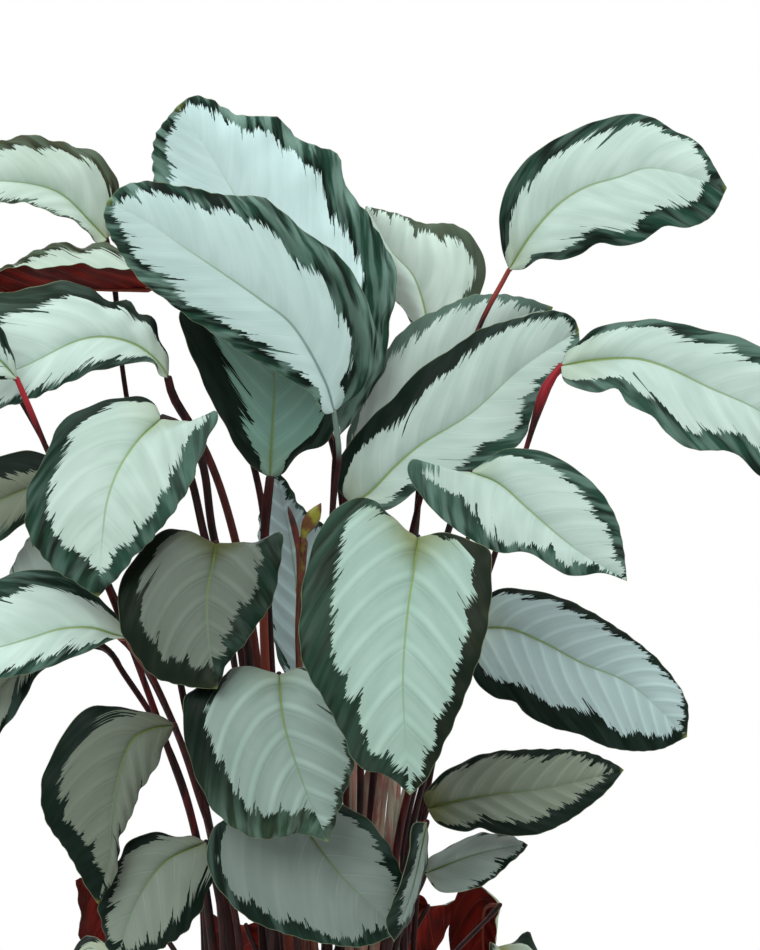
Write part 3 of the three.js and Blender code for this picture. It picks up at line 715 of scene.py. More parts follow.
leafLooks = {
    "leaf_01": {
        "left": (1, 2, 2, 2), "right": (6, 8.5, 7.5, 6), "tip": 5, "warmth": 0.25,
        "dark": (0, 0, 0, 0.2), "olive": (0.4, 0.6), "wave": 0.8,
    },
    "leaf_02": {"right": (3, 7, 6, 4), "warmth": 0.3, "olive": (0.6, 0.6), "wave": 0.7},
    "leaf_03": {
        "left": (4, 6.5, 7.5, 6.5), "right": (15, 18.5, 14, 7), "tip": 5, "toneAndShade": 0.97, "warmth": -0.4,
        "dark": (0.2, -0.2, 0.3, 0), "foldAndCrestLight": 0.12, "wave": 0.5, "paintedSheen": 0.8, "dusk": 0,
    },
    "leaf_04": {
        "left": (3, 4.5, 4, 3.5), "right": (5, 7.5, 13, 12), "tip": 8, "toneAndShade": 1.03,
        "dark": (-0.3, 0, 1, 0.1), "olive": (0, 0.3), "wave": 0.9,
    },
    "leaf_04b": {"dark": (0.6, 0.6, 0.6, 0.6)},
    "leaf_05": {
        "left": (0, 10.5, 9.5, 8), "right": (4, 8, 11.5, 12), "tip": 9, "toneAndShade": 0.86, "warmth": 0.1,
        "dark": (-0.4, -0.1, 1, -0.1), "olive": (0, 0.15), "pitch": 13, "foldAndCrestLight": 0.3, "wave": 0.7,
        "paintedSheen": 0.35,
    },
    "leaf_06": {
        "left": (2, 3, 3, 3), "right": (10, 12.5, 11, 9), "toneAndShade": 0.34, "warmth": 0.6,
        "dark": (0.4, 0.4, 1.2, 1.2), "olive": (0.3, 0.4),
    },
    "leaf_07": {"left": (0, 0, 0, 0.5), "right": (0, 1, 1, 1), "toneAndShade": 0.8},
    "leaf_08": {
        "left": (2.5, 5, 4, 3.5), "right": (4, 9, 11, 8), "toneAndShade": 1.05, "dark": (0.1, -0.3, 0.2, 0.5),
        "wave": 0.3,
    },
    "leaf_09": {
        "left": (4, 5, 5, 5), "right": (4, 5, 5, 4), "toneAndShade": 0.55, "warmth": 0.4,
        "dark": (0.6, 0.6, 0.6, 0.6),
    },
    "leaf_10": {
        "left": (0, 10, 11, 6.5), "right": (1, 9, 11, 10), "tip": 9, "toneAndShade": 0.24, "warmth": 0.4,
        "dark": (0.5, 0.6, 1.2, 0.8), "olive": (0.2, 0.9), "pitch": 13, "foldAndCrestLight": 0.8, "paintedSheen": 0.3,
        "dusk": 1,
    },
    "leaf_11": {
        "left": (1, 3.5, 5, 4), "right": (-3, 13.5, 14, 11), "tip": 8, "toneAndShade": 0.5, "sage": 0.15,
        "dark": (0.6, 0.3, 1.9, -0.4), "olive": (0.4, 0.3), "rake": 0.9, "pitch": 14, "foldAndCrestLight": 1.3,
    },
    # leaf_12's olive on its left border stands for a painted cast shadow.
    "leaf_12": {
        "left": (3, 10, 8.5, 6), "right": (2, 13.5, 15, 9), "tip": 2, "toneAndShade": 0.7, "warmth": 0.15,
        "sage": 0.25, "dark": (0.8, 0.9, 0.2, 0.5), "olive": (0.8, 0.2), "rake": 1.15, "pitch": 17,
        "foldAndCrestLight": 0.8, "paintedSheen": 0.2, "dusk": 0.8,
    },
    "leaf_13": {
        "left": (7, 10, 14, 8), "right": (20, 22.5, 14, 7), "tip": 4, "toneAndShade": 1.32, "warmth": -0.5,
        "dark": (0, -0.1, 0.1, -0.1), "foldAndCrestLight": 0.12, "wave": 0.9, "paintedSheen": 1,
    },
    "leaf_14": {
        "left": (7.5, 14, 16, 14), "right": (5, 9, 9, 7), "tip": 7, "toneAndShade": 0.52, "sage": 0.7,
        "dark": (1, 1, 0.8, 0.8), "foldAndCrestLight": 0.6, "paintedSheen": 0.5,
    },
    "leaf_15": {
        "left": (0, 0.5, 0.5, 1), "right": (7, 10, 9, 3), "tip": 1, "toneAndShade": 1.32, "warmth": 0.15,
        "dark": (-0.3, -0.3, -0.3, -0.3), "olive": (0.7, 0.7), "paintedSheen": 0.2, "dusk": 0.6,
    },
    "leaf_16": {
        "left": (3, 5, 7, 4), "right": (4, 6, 6, 4), "toneAndShade": 0.9, "dark": (-0.5, -0.5, -0.3, -0.3),
        "olive": (0.3, 0), "paintedSheen": 0.2,
    },
    "leaf_17": {
        "left": (6, 13, 10.5, 4), "right": (4, 5, 7.5, 4.5), "toneAndShade": 0.78, "dark": (1.6, 0.5, 0.3, 0.2),
        "pitch": 13, "foldAndCrestLight": 0.2, "wave": 0.3,
    },
    "leaf_18": {
        "left": (8, 11, 8, 2.5), "right": (2, 6.5, 9, 12), "tip": 10, "toneAndShade": 0.96,
        "dark": (0.4, 0.1, -0.1, 0), "wave": 0.15, "paintedSheen": 0.3,
    },
    "leaf_19": {
        "left": (4, 7, 8.5, 7), "right": (5, 8, 10, 8), "dark": (0.1, 0.1, -0.3, 0.1), "wave": 0.3,
    },
    "leaf_20": {
        "left": (3, 7.5, 9, 5.5), "right": (1, 14, 5, 4), "tip": 2, "toneAndShade": 0.82,
        "dark": (0.1, 0.3, -0.5, 0.4), "wave": 0.2,
    },
    "leaf_21": {
        "left": (3, 4.5, 4.5, 3), "right": (4, 9.5, 12, 8), "toneAndShade": 0.74, "warmth": -0.5,
        "dark": (1.1, 1, 0.9, 0.9), "pitch": 10, "foldAndCrestLight": 0.9, "wave": 0.15,
    },
    "leaf_22": {
        "left": (2.5, 5, 5, 4), "right": (1.5, 4.5, 8, 6), "toneAndShade": 0.36, "warmth": 0.5,
        "dark": (1.2, 1.1, 1, 1.2), "olive": (0.3, 0.2), "pitch": 10, "foldAndCrestLight": 1, "wave": 0.15, "dusk": 1,
    },
    "leaf_23": {
        "left": (1, 1, 1, 2), "right": (1, 1, 2, 3), "toneAndShade": 0.55, "warmth": 0.1,
        "dark": (0.7, 0.7, 0.7, 0.7),
    },
    "leaf_24": {
        "left": (0.6, 0.6, 0.6, 0.6), "right": (0, 8, 9.5, 11), "toneAndShade": 0.27, "warmth": 0.5,
        "dark": (1, 1, 1.3, 1.2), "foldAndCrestLight": 0.6, "wave": 0.4, "paintedSheen": 0.2,
    },
    "leaf_25": {"toneAndShade": 0.4, "warmth": 0.4, "dark": (1, 1, 1, 1), "wave": 0.8},
    "leaf_26": {"toneAndShade": 0.36, "warmth": 0.1, "dark": (0.7, 0.7, 0.6, 0.6)},
    "leaf_27": {"left": (5, 6, 6, 6), "right": (5, 6, 6, 6), "toneAndShade": 0.4, "dark": (0.8, 0.8, 0.8, 0.8)},
    "leaf_28": {
        "left": (3, 3, 2, 1), "right": (1, 4, 5, 4), "toneAndShade": 0.85, "warmth": -0.6,
        "dark": (0.2, 0.2, 0, 0), "foldAndCrestLight": 1.4, "paintedSheen": 0.3, "dusk": 0,
    },
}

blades = {
    "grid": (88, 19),  # rows, and columns on each side of the midrib
    "hiddenGrid": (62, 14),
    "crowding": 0.5,  # how much closer the faces lie at base, tip, midrib and edge
    "halfThickness": 0.3 * mm,
    "edgeHalfThickness": 0.12 * mm,
    "endThickness": 0.5,  # share of its thickness that is left at base and tip
    "bow": 3,  # mm
    "cup": 1.4,
    "fullness": 0.6,  # how soon behind its base the blade bows
    "veinLean": (0.9, 0.55),  # how far side veins lean, all along and more near the edge
    "pleat": 0.55,  # mm that the blade rises and dips between side veins
    "pleatSharpness": 0.28,
    "pleatFrom": 7,  # mm from the midrib to where the pleats are full
    "pleatEdge": (0.2, 0.35),  # in which outer share they calm down, and to how much
    "ruffle": 1.7,  # mm that its edge waves up and down
    "ruffleLength": 29,
    "ruffleShift": (0.37, 0.4),  # in waves, from leaf to leaf and from edge to edge
    "secondRuffle": (2.3, 0.45),  # how much shorter it is and how high
    "calmEnds": (0.12, 0.1),  # share of the length at base and tip
    "scallop": 0.7,
    "groove": 0.35,
    "grooveWidth": 1.3,
    "edgeSamples": 240,
}


def curveAt(points, places):  # a smooth curve through the points, without loops between close ones
    points = np.asarray(points, dtype=float)
    knots = np.vstack([2 * points[0] - points[1], points, 2 * points[-1] - points[-2]])
    spans = len(points) - 1
    place = np.clip(np.asarray(places, dtype=float) * spans, 0, spans - 1e-9)
    index = place.astype(int)
    weight = (place - index)[:, None]
    p0, p1, p2, p3 = (knots[index + shift] for shift in range(4))
    pairs = ((p0, p1), (p1, p2), (p2, p3))
    d0, d1, d2 = (np.linalg.norm(b - a, axis=1, keepdims=True) ** 0.5 for a, b in pairs)
    leave = ((p1 - p0) / d0 - (p2 - p0) / (d0 + d1) + (p2 - p1) / d1) * d1
    reach = ((p2 - p1) / d1 - (p3 - p1) / (d1 + d2) + (p3 - p2) / d2) * d1
    bend = 3 * (p2 - p1) - 2 * leave - reach
    turn = 2 * (p1 - p2) + leave + reach
    return p1 + leave * weight + bend * weight**2 + turn * weight**3


def steps(points):  # lengths from the first point on, along the first axis
    gaps = np.linalg.norm(np.diff(points, axis=0), axis=-1)
    return np.concatenate([np.zeros((1,) + gaps.shape[1:]), np.cumsum(gaps, axis=0)])


def rail(points, shares):  # the curve's places at shares of its length
    samples = np.linspace(0, 1, blades["edgeSamples"] + 1)
    length = steps(curveAt(points, samples))
    return curveAt(points, np.interp(np.asarray(shares) * length[-1], length, samples))


def place(spots, depths):  # pixels of the picture, and depths in mm behind the pot's axis
    spots = np.asarray(spots, dtype=float)
    depth = np.asarray(depths, dtype=float) * mm
    scale = picture["pixel"] * (1 + depth / picture["distance"])
    across = picture["eye"][0] + (spots[..., 0] - picture["middle"][0]) * scale
    height = picture["eye"][1] - (spots[..., 1] - picture["middle"][1]) * scale
    return np.stack([across, depth, height], axis=-1)


def bladeSurface(leaf, shares, across):  # rows along the blade, columns from its left edge to its right
    base, tip = leaf["midrib"][0], leaf["midrib"][-1]
    middle = rail(leaf["midrib"], shares)[:, None]
    left = rail([base, *leaf["left"], tip], shares)[:, None]
    right = rail([base, *leaf["right"], tip], shares)[:, None]
    out = np.abs(across)
    onLeft = across < 0
    spots = middle + (np.where(onLeft[None, :, None], left, right) - middle) * out[None, :, None]
    fullness = blades["fullness"]
    full = np.maximum(np.sin(np.pi * shares**fullness), 0) ** fullness
    deepBase, deepMiddle, deepTip = leaf["deep"]
    arc = deepBase * (1 - shares) * (1 - 2 * shares)
    arc += deepMiddle * 4 * shares * (1 - shares) + deepTip * shares * (2 * shares - 1)
    turned = np.where(onLeft, *leaf["sides"]) * out ** blades["cup"]
    bowed = blades["bow"] * 4 * out * (1 - out)
    return place(spots, arc[:, None] + full[:, None] * (turned - bowed))


def crowded(count):  # shares from 0 to 1, closer together at both ends
    even = np.linspace(0, 1, count)
    return even - blades["crowding"] * np.sin(2 * np.pi * even) / (2 * np.pi)


def carrier(leaf, source):  # carries a leaf's points to a base of its own, turned about an upright line
    if "at" not in leaf:
        return lambda points: points
    base = bladeSurface(source, np.zeros(1), np.zeros(1))[0, 0]
    spot = place(leaf["at"][:2], leaf["at"][2])
    angle = math.radians(leaf["turn"])
    cosine, sine = math.cos(angle), math.sin(angle)
    turn = np.array([[cosine, -sine, 0], [sine, cosine, 0], [0, 0, 1]])
    flip = np.array([-1 if leaf.get("mirror") else 1, 1, 1])
    return lambda points: ((points - base) * flip) @ turn.T * leaf["size"] + spot


def baseOf(leaf, source):
    return carrier(leaf, source)(bladeSurface(source, np.zeros(1), np.zeros(1)))[0, 0]


def distanceTo(line, points):  # from each point to the nearest place on the line
    nearest = np.full(points.shape[:-1], np.inf)
    for start, end in zip(line, line[1:]):
        along = end - start
        share = np.clip((points - start) @ along / max(along @ along, 1e-12), 0, 1)
        nearest = np.minimum(nearest, np.linalg.norm(points - start - share[..., None] * along, axis=-1))
    return nearest


def makePiece(name, vertices, faces, materials, attributes=None, faceMaterials=None):
    mesh = bpy.data.meshes.new(name)
    mesh.from_pydata(vertices, [], faces)
    for material in materials:
        mesh.materials.append(material)
    if faceMaterials is not None:
        mesh.polygons.foreach_set("material_index", faceMaterials)
    for key, values in (attributes or {}).items():
        layer = mesh.attributes.new(key, "FLOAT_VECTOR", "POINT")
        layer.data.foreach_set("vector", np.asarray(values, dtype=np.float32).ravel())
    mesh.polygons.foreach_set("use_smooth", [True] * len(mesh.polygons))
    mesh.update()
    piece = bpy.data.objects.new(name, mesh)
    bpy.context.collection.objects.link(piece)
    return piece


def declare(piece, node=None):
    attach(piece, body)
    if node:
        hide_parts(node)


def bladeFaces(rows, columns):  # top, underside and rim of a sheet, and the material of each face
    wide = 2 * columns + 1
    count = rows * wide
    basePole, tipPole, number = count, count + 1, count + 2
    grid = np.arange(count).reshape(rows, wide)
    top = []
    for i in range(rows - 1):
        for j in range(wide - 1):
            a, b, c, d = grid[i, j], grid[i, j + 1], grid[i + 1, j + 1], grid[i + 1, j]
            top += [(a, b, d), (b, c, d)] if j < columns else [(a, b, c), (a, c, d)]
    for j in range(wide - 1):
        top.append((basePole, grid[0, j + 1], grid[0, j]))
        top.append((grid[-1, j], grid[-1, j + 1], tipPole))
    under = [tuple(number + corner for corner in reversed(face)) for face in top]
    rim = [basePole, *grid[:, -1], tipPole, *grid[::-1, 0]]
    wall = [(b, a, a + number, b + number) for a, b in zip(rim, rim[1:] + rim[:1])]
    faces = [tuple(int(corner) for corner in face) for face in top + under + wall]
    return faces, [0] * len(top) + [1] * len(under) + [0] * len(wall)


def ripples(look, seed, across, shares, far, length, vein):  # mm up and outwards at each of the points
    nearEdge, leftThere = blades["pleatEdge"]
    leafShift, edgeShift = blades["ruffleShift"]
    shorter, lower = blades["secondRuffle"]
    atBase, atTip = blades["calmEnds"]
    out = np.abs(across)[None, :]
    ends = np.minimum(np.minimum(shares / atBase, (1 - shares) / atTip), 1)[:, None]
    turning = 2 * np.pi * vein / look["pitch"]
    pleated = np.sin(turning) - blades["pleatSharpness"] * np.sin(2 * turning)
    calm = np.clip((1 - out) / nearEdge, leftThere, 1)
    pleated *= look["foldAndCrestLight"] * np.clip(far / blades["pleatFrom"], 0, 1) * calm
    wave = length[:, None] / blades["ruffleLength"] + seed * leafShift + np.where(across < 0, edgeShift, 0)
    wave *= 2 * np.pi
    ruffled = look["wave"] * out**3 * (np.sin(wave) + lower * np.sin(shorter * wave + seed))
    grooved = -np.exp(-((far / blades["grooveWidth"]) ** 2)) * (1 - shares[:, None])
    lift = blades["pleat"] * pleated + blades["ruffle"] * ruffled + blades["groove"] * grooved
    scalloped = look["wave"] * blades["scallop"] * out**6 * np.sin(turning)
    return lift, scalloped, ends


def bladeMesh(name, leaf, source, look, seed, counts, materials):
    rows, columns = counts
    side = crowded(columns + 1)
    across = np.concatenate([-side[:0:-1], side])
    shares = crowded(rows + 2)
    own = -across if leaf.get("mirror") else across  # as the source leaf counts it
    points = carrier(leaf, source)(bladeSurface(source, shares, own))
    middle = points[:, columns]
    sideways = np.gradient(points, across, axis=1)
    along = np.gradient(points, shares, axis=0)
    up = np.cross(sideways, along)
    up /= np.maximum(np.linalg.norm(up, axis=-1, keepdims=True), 1e-12)
    up[0], up[-1] = up[1, columns], up[-2, columns]

    rib = np.abs(steps(points.swapaxes(0, 1)).T)
    rib = (rib - rib[:, columns : columns + 1]) / mm  # distance from the midrib, with its side as sign
    far = np.abs(rib)
    length = steps(middle) / mm
    allAlong, nearEdge = blades["veinLean"]
    lean = allAlong * far + nearEdge * far**2 / max(far.max(), 1)
    vein = length[:, None] - look["rake"] * lean
    inset = np.where(across < 0, distanceTo(points[:, 0], points), distanceTo(points[:, -1], points)) / mm

    def sided(left, right):
        return np.where(own < 0, left, right)

    def border(edge):  # its width, under 0 at the very base
        return np.interp(shares, borderPlaces, (-2, *look[edge], look["tip"]))[:, None]

    past = inset - sided(border("left"), border("right"))

    lift, scalloped, ends = ripples(look, seed, across, shares, far, length, vein)
    outward = points - middle[:, None]
    outward /= np.maximum(np.linalg.norm(outward, axis=-1, keepdims=True), 1e-9)
    points = points + (up * lift[..., None] + outward * scalloped[..., None]) * (ends * mm)[..., None]
    half = blades["halfThickness"] + (blades["edgeHalfThickness"] - blades["halfThickness"]) * across**2
    atEnds = blades["endThickness"]
    thick = up * (half * (atEnds + (1 - atEnds) * ends))[..., None]

    def layer(grid):  # the rows between base and tip, then the base's and the tip's one point each
        return np.concatenate([grid[1:-1].reshape((-1,) + grid.shape[2:]), grid[[0, -1], columns]])

    def facts(*values):
        spread = np.stack([np.broadcast_to(value, rib.shape) for value in values], axis=-1)
        return np.concatenate([layer(spread)] * 2)

    share = shares[:, None]
    leftBase, leftTip, rightBase, rightTip = look["dark"]
    dark = sided(leftBase + (leftTip - leftBase) * share, rightBase + (rightTip - rightBase) * share)
    attributes = {
        "veins": facts(vein, inset, seed),
        "border": facts(past, rib, share),
        "toneAndShade": facts(look["toneAndShade"], look["warmth"], look["dusk"]),
        "depth": facts(dark, sided(*look["olive"]), look["paintedSheen"]),
        "folds": facts(vein / look["pitch"], look["foldAndCrestLight"], look["sage"]),
    }
    corners = np.concatenate([layer(points + thick), layer(points - thick)])
    faces, kinds = bladeFaces(rows, columns)
    piece = makePiece(name, corners, faces, materials, attributes, kinds)
    return piece, middle - up[:, columns] * blades["halfThickness"], up[:, columns]


silver = palette({
    "light": (204, 229, 219),
    "shade": (188, 214, 203),
    "olive": (190, 200, 160),
    "teal": (178, 209, 216),
    "sage": (138, 206, 186),
    "dusk": (150, 160, 104),
})
green = palette({
    "middle": (32, 68, 54),
    "light": (118, 152, 140),
    "dark": (8, 24, 17),
    "olive": (82, 84, 54),
    "edge": (150, 164, 128),
    "tip": (132, 150, 70),
})
ribLine = palette({
    "foot": (146, 172, 84),
    "grey": (120, 148, 144),  # of a leaf without dusk
    "tip": (152, 182, 150),
})
ribWidth = (1.0, 0.2)  # mm to either side of the midrib, at its foot and its tip
strokes = {  # noise drawn out along the side veins: length and width in mm, detail, and a place of its own
    "wander": (26, 14, 1.0, 0.0),
    "jitter": (40, 3.2, 1.0, 0.0),
    "veinlets": (30, 0.9, 2.0, 0.0),
    "broad": (16, 9, 1.0, 5.0),
    "soft": (60, 26, 1.0, 8.0),
    # streaks of painted shade in the border's hollows, also a bump
    "hollowShade": (18, 10, 2.0, 9.0),
    # patches of painted sheen on the border, with painted shade beside the silver between them
    "sheenPatches": (12, 8, 2.0, 3.0),
}
feathers = {  # the torn inner edge of the green border, in mm
    "fine": (1.5, 2.6),  # how wide these strokes are and how far they reach
    "coarse": (4.1, 1.8),
    "drift": 8,
    "spike": 11,
    "backwards": 2.4,
    "softness": 0.16,
}


def leafTopMaterial():
    shader = Shader("leafTop")
    foot, inset, seed = shader.attribute("veins")
    past, out, share = shader.attribute("border")
    toneAndShade, warmth, dusk = shader.attribute("toneAndShade")
    dark, olive, paintedSheen = shader.attribute("depth")
    phase, foldAndCrestLight, sage = shader.attribute("folds")

    def streaks(length, width, detail, shift):
        vector = shader.point(foot / width + shift, out / length, seed * 7.3)
        return shader.noise(vector, 1.0, detail)

    wander, jitter, veinlets, broad, soft, hollowShade, sheenPatches = (streaks(*sizes) for sizes in strokes.values())
    fineWidth, fineReach = feathers["fine"]
    coarseWidth, coarseReach = feathers["coarse"]
    fine = (foot / fineWidth + jitter * 2.2).fraction()
    coarse = (foot / coarseWidth + wander * 2.4).fraction()
    spike = (1 - (phase + jitter * 0.9).fraction()) ** 6
    ragged = fine * fineReach * jitter + coarse * coarseReach + (wander - 0.5) * feathers["drift"]
    ragged = ragged + spike * feathers["spike"] * (wander - 0.2) - feathers["backwards"]
    edge = past - ragged * (0.2 + 0.8 * share.rise(0.03, 0.24))
    silvered = edge.rise(-feathers["softness"], feathers["softness"])

    # Painted light: the silver is lighter on the crests between the side veins, where the folds catch the
    # light.
    paintedCrestLight = (phase.fraction() - 0.25).size().fall(0.02, 0.2)
    sideVein = (phase.fraction() - 0.5).size().fall(0.01, 0.05)
    # Broad patches of painted light and painted shade on the silver.
    pale = shader.mix(broad.rise(0.25, 0.75), silver["shade"], silver["light"])
    pale = shader.tint(pale, silver, (
        ("olive", warmth.rise(0, 1)),
        ("teal", (-warmth).rise(0, 1)),
        # A greener cast, partly that of painted shade.
        ("sage", sage),
        ("dusk", dusk * share.fall(0.02, 0.22) * (0.5 + soft)),
    ))
    veined = sideVein * out.size().fall(4, 24) * (1.2 - toneAndShade)
    # The side veins' lighter lines, and the painted light on the crests.
    veinsAndCrestLight = (1 + 0.2 * veined) * (0.96 + 0.2 * foldAndCrestLight * paintedCrestLight)
    # Each leaf's silver lighter or darker: partly its own tone, partly painted shade and painted light.
    pale = shader.scaled(pale, toneAndShade * (0.96 + 0.05 * veinlets) * veinsAndCrestLight)

    # Painted highlight: patches of light sheen painted into the border, strongest within a few mm of its
    # edge.
    paintedHighlight = sheenPatches.rise(0.4, 0.64) * paintedSheen * (0.45 + 0.55 * inset.fall(2, 12))
    # The dark green beside the silver, partly painted shade between the painted sheen patches.
    beside = (-edge).fall(0.2, 5) * sheenPatches.fall(0.44, 0.56)
    # Painted shade: the border darkest in streaks where its relief lies low.
    deep = shader.mix(hollowShade.rise(0.35, 0.6), green["dark"], green["middle"])
    deep = shader.tint(deep, green, (
        ("light", paintedHighlight),
        ("olive", olive.rise(0, 1) * 0.8),
        ("dark", beside * paintedSheen * 1.4),
        # The border darker or lighter leaf by leaf and side by side, partly painted shade.
        ("dark", (dark + hollowShade * 0.6 - 0.3).rise(0, 1) * 0.94),
        ("light", (-dark).rise(0, 1) * 0.8),
    ))
    deep = shader.scaled(deep, 0.82 + 0.36 * veinlets)
    deep = shader.mix(share.rise(0.97, 1.0) * 0.5, deep, green["tip"])

    width = ribWidth[0] + (ribWidth[1] - ribWidth[0]) * share
    ribbed = (out.size() / width).fall(0.6, 1.3) * share.fall(0.6, 0.88)
    rib = shader.mix(dusk.rise(0, 0.3), ribLine["grey"], ribLine["foot"])
    rib = shader.mix(share.rise(0.1, 0.7), rib, ribLine["tip"])
    colour = shader.mix(silvered, deep, pale)
    # The midrib darkens with the leaf's painted shade too.
    colour = shader.mix(ribbed * (0.25 + 0.55 * silvered), colour, shader.scaled(rib, 0.25 + 0.7 * toneAndShade))
    colour = shader.mix(inset.fall(0.1, 0.4) * 0.5, colour, green["edge"])

    relief = veinlets * 0.4 + hollowShade * 0.8 - sideVein * 0.4 + silvered * 0.3
    return shader.surface(colour, 0.42 + 0.12 * silvered + 0.08 * veinlets, relief, 0.12 * mm, 0.1)


maroon = palette({
    "light": (132, 32, 22),
    "dark": (74, 14, 11),
    "vein": (138, 62, 48),
    "edge": (50, 20, 15),
})


def leafUnderMaterial():
    shader = Shader("leafUnder")
    foot, seed = shader.attribute("veins")[::2]
    past, out = shader.attribute("border")[:2]
    phase = shader.attribute("folds")[0]
    veinlets = shader.noise(shader.point(foot / 0.9, out / 30, seed * 7.3))
    broad = shader.noise(shader.point(foot / 9, out / 16, seed * 3.1))
    side = (phase.fraction() - 0.5).size().rise(0.42, 0.5)
    colour = shader.mix(broad.rise(0.3, 0.7), maroon["dark"], maroon["light"])
    colour = shader.tint(colour, maroon, (("edge", past.fall(-4, 3) * 0.5), ("vein", side * 0.4)))
    colour = shader.scaled(colour, 0.85 + 0.3 * veinlets)
    return shader.surface(colour, 0.5 + 0.1 * veinlets, veinlets * 0.4 + side, 0.15 * mm, 0.06)


stalk = {
    "petioleFoot": 2.9 * mm,
    "petioleTop": 1.2 * mm,
    "taper": 1.6,
    "pulvinusPlace": 0.955,  # share of the petiole's length
    "pulvinusSpan": 0.035,
    "petioleSides": 14,
    "petiolePoints": 64,
    "buried": 7 * mm,
    "tipPast": 1.3 * mm,  # how far the petiole's round end reaches past the blade's base
    "ribFoot": 1.25 * mm,
    "ribTop": 0.28 * mm,
    "ribReach": 0.86,  # share of the blade's length
    "ribPoints": 34,
    "ribStart": 4,  # rows of the blade over which the rib comes out of it
    "ribSides": 8,
}


def stalkTree():  # a round stalk along a curve: sheath at the foot, swelling near the top, round end
    shape = ("Foot Radius", "Top Radius", "Taper", "Swelling", "Swelling Place", "Swelling Span", "Round End")
    colours = ("Redness", "Greenness")
    kinds = {"Geometry": ["Line"], "Float": shape + colours, "Int": ["Sides"], "Material": ["Material"]}
    grower = Grower("stalk", kinds, "Stalk")
    given = grower.given
    share = grower.node("GeometryNodeSplineParameter", {}, {}, "Factor")
    top = given["Top Radius"]
    girth = top + (given["Foot Radius"] - top) * (1 - share) ** given["Taper"]
    offset = (share - given["Swelling Place"]) / given["Swelling Span"]
    girth = girth + given["Swelling"] * (offset * offset * -1).exponential()
    ending = ((share - (1 - given["Round End"])) / given["Round End"]).atLeast(0)
    girth = girth * (1 - ending * ending).atLeast(0.02).root()
    facts = grower.point(share, given["Redness"], given["Greenness"])
    named = {"data_type": "FLOAT_VECTOR", "domain": "POINT"}
    inputs = {"Geometry": given["Line"], "Name": "stalk", "Value": facts}
    line = grower.node("GeometryNodeStoreNamedAttribute", named, inputs)
    ring = grower.node("GeometryNodeCurvePrimitiveCircle", {}, {"Resolution": given["Sides"], "Radius": 1.0})
    inputs = {"Curve": line, "Profile Curve": ring, "Scale": girth, "Fill Caps": True}
    tube = grower.node("GeometryNodeCurveToMesh", {}, inputs)
    return grower.end(grower.node("GeometryNodeSetShadeSmooth", {}, {"Geometry": tube, "Shade Smooth": True}))


def growing(name, points, grower, sizes):  # a curve with the tree on it, not yet a mesh
    curve = bpy.data.curves.new(name, "CURVE")
    curve.dimensions = "3D"
    spline = curve.splines.new("POLY")
    spline.points.add(len(points) - 1)
    spline.points.foreach_set("co", np.column_stack([points, np.ones(len(points))]).ravel())
    holder = bpy.data.objects.new(name + "_line", curve)
    bpy.context.collection.objects.link(holder)
    grower.putOn(holder, sizes)
    return holder


def grown(holder, name):  # the finished mesh of it, as a plain piece
    depsgraph = bpy.context.evaluated_depsgraph_get()
    mesh = bpy.data.meshes.new_from_object(holder.evaluated_get(depsgraph), depsgraph=depsgraph)
    mesh.name = name
    holder.modifiers.clear()
    bpy.data.objects.remove(holder)
    piece = bpy.data.objects.new(name, mesh)
    bpy.context.collection.objects.link(piece)
    return piece


def wayUp(plant, foot, end, shares):  # from the height of its foot past the places on its way
    start = [plant["foot"][0] * mm, plant["foot"][1] * mm, foot]
    return rail([start, *(place(spot[:2], spot[2]) for spot in plant["stem"]), end], shares)


def stemLine(leaf, base):
    line = wayUp(leaf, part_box("soil")[1][2], base, np.linspace(0, 1, stalk["petiolePoints"]))
    down = (line[0] - line[2]) / np.linalg.norm(line[0] - line[2])
    ahead = (line[-1] - line[-2]) / np.linalg.norm(line[-1] - line[-2])
    rounding = [line[-1] + ahead * stalk["tipPast"] * step for step in (0.4, 0.7, 0.9, 1)]
    return np.vstack([line[0] + down * stalk["buried"], line, rounding])


petioleColours = palette({
    "black": (26, 13, 13),
    "red": (88, 26, 28),
    "bright": (150, 34, 44),
    "pale": (168, 168, 146),
    "pink": (164, 118, 108),
    "brown": (134, 66, 50),
    "green": (108, 130, 120),
})


def petioleMaterial(name, underRib=False):
    shader = Shader(name)
    share, redness, greenness = shader.attribute("stalk")
    streak = shader.drawnOut((420, 420, 14), 3.0)
    broad = shader.noise(shader.here(), 26)
    speckle = shader.noise(shader.here(), 900)
    paints = dict(petioleColours)
    if underRib:
        colour = shader.mix(share.rise(0.0, 0.9), paints["brown"], maroon["vein"])
    else:
        paints["milky"] = shader.mix(streak.rise(0.4, 0.6), paints["pale"], paints["pink"])
        paints["joint"] = shader.mix(redness.rise(0.55, 0.9), paints["brown"], paints["bright"])
        paints["earthy"] = shader.scaled(paints["brown"], 0.6 + 0.8 * streak)
        paleFoot = share.fall(0.55, 0.8) * (0.5 + 0.5 * broad.rise(0.35, 0.55)) * (-redness).rise(0, 0.5)
        redTop = share.rise(0.92, 0.975) * redness.rise(0.4, 0.7) * (0.5 + 0.5 * broad.rise(0.3, 0.6))
        colour = shader.tint(paints["black"], paints, (
            ("red", streak.rise(0.35, 0.7) * (0.25 + 0.75 * redness)),
            ("milky", paleFoot),
            ("joint", redTop),
            ("earthy", -greenness * share.fall(0.78, 0.92)),
            ("green", share.rise(0.925, 0.955) * greenness.rise(0, 1)),
        ))
    colour = shader.scaled(colour, 0.85 + 0.3 * speckle)
    return shader.surface(colour, 0.42 + 0.1 * speckle, streak * 0.7 + speckle * 0.3, 0.15 * mm, 0.2)


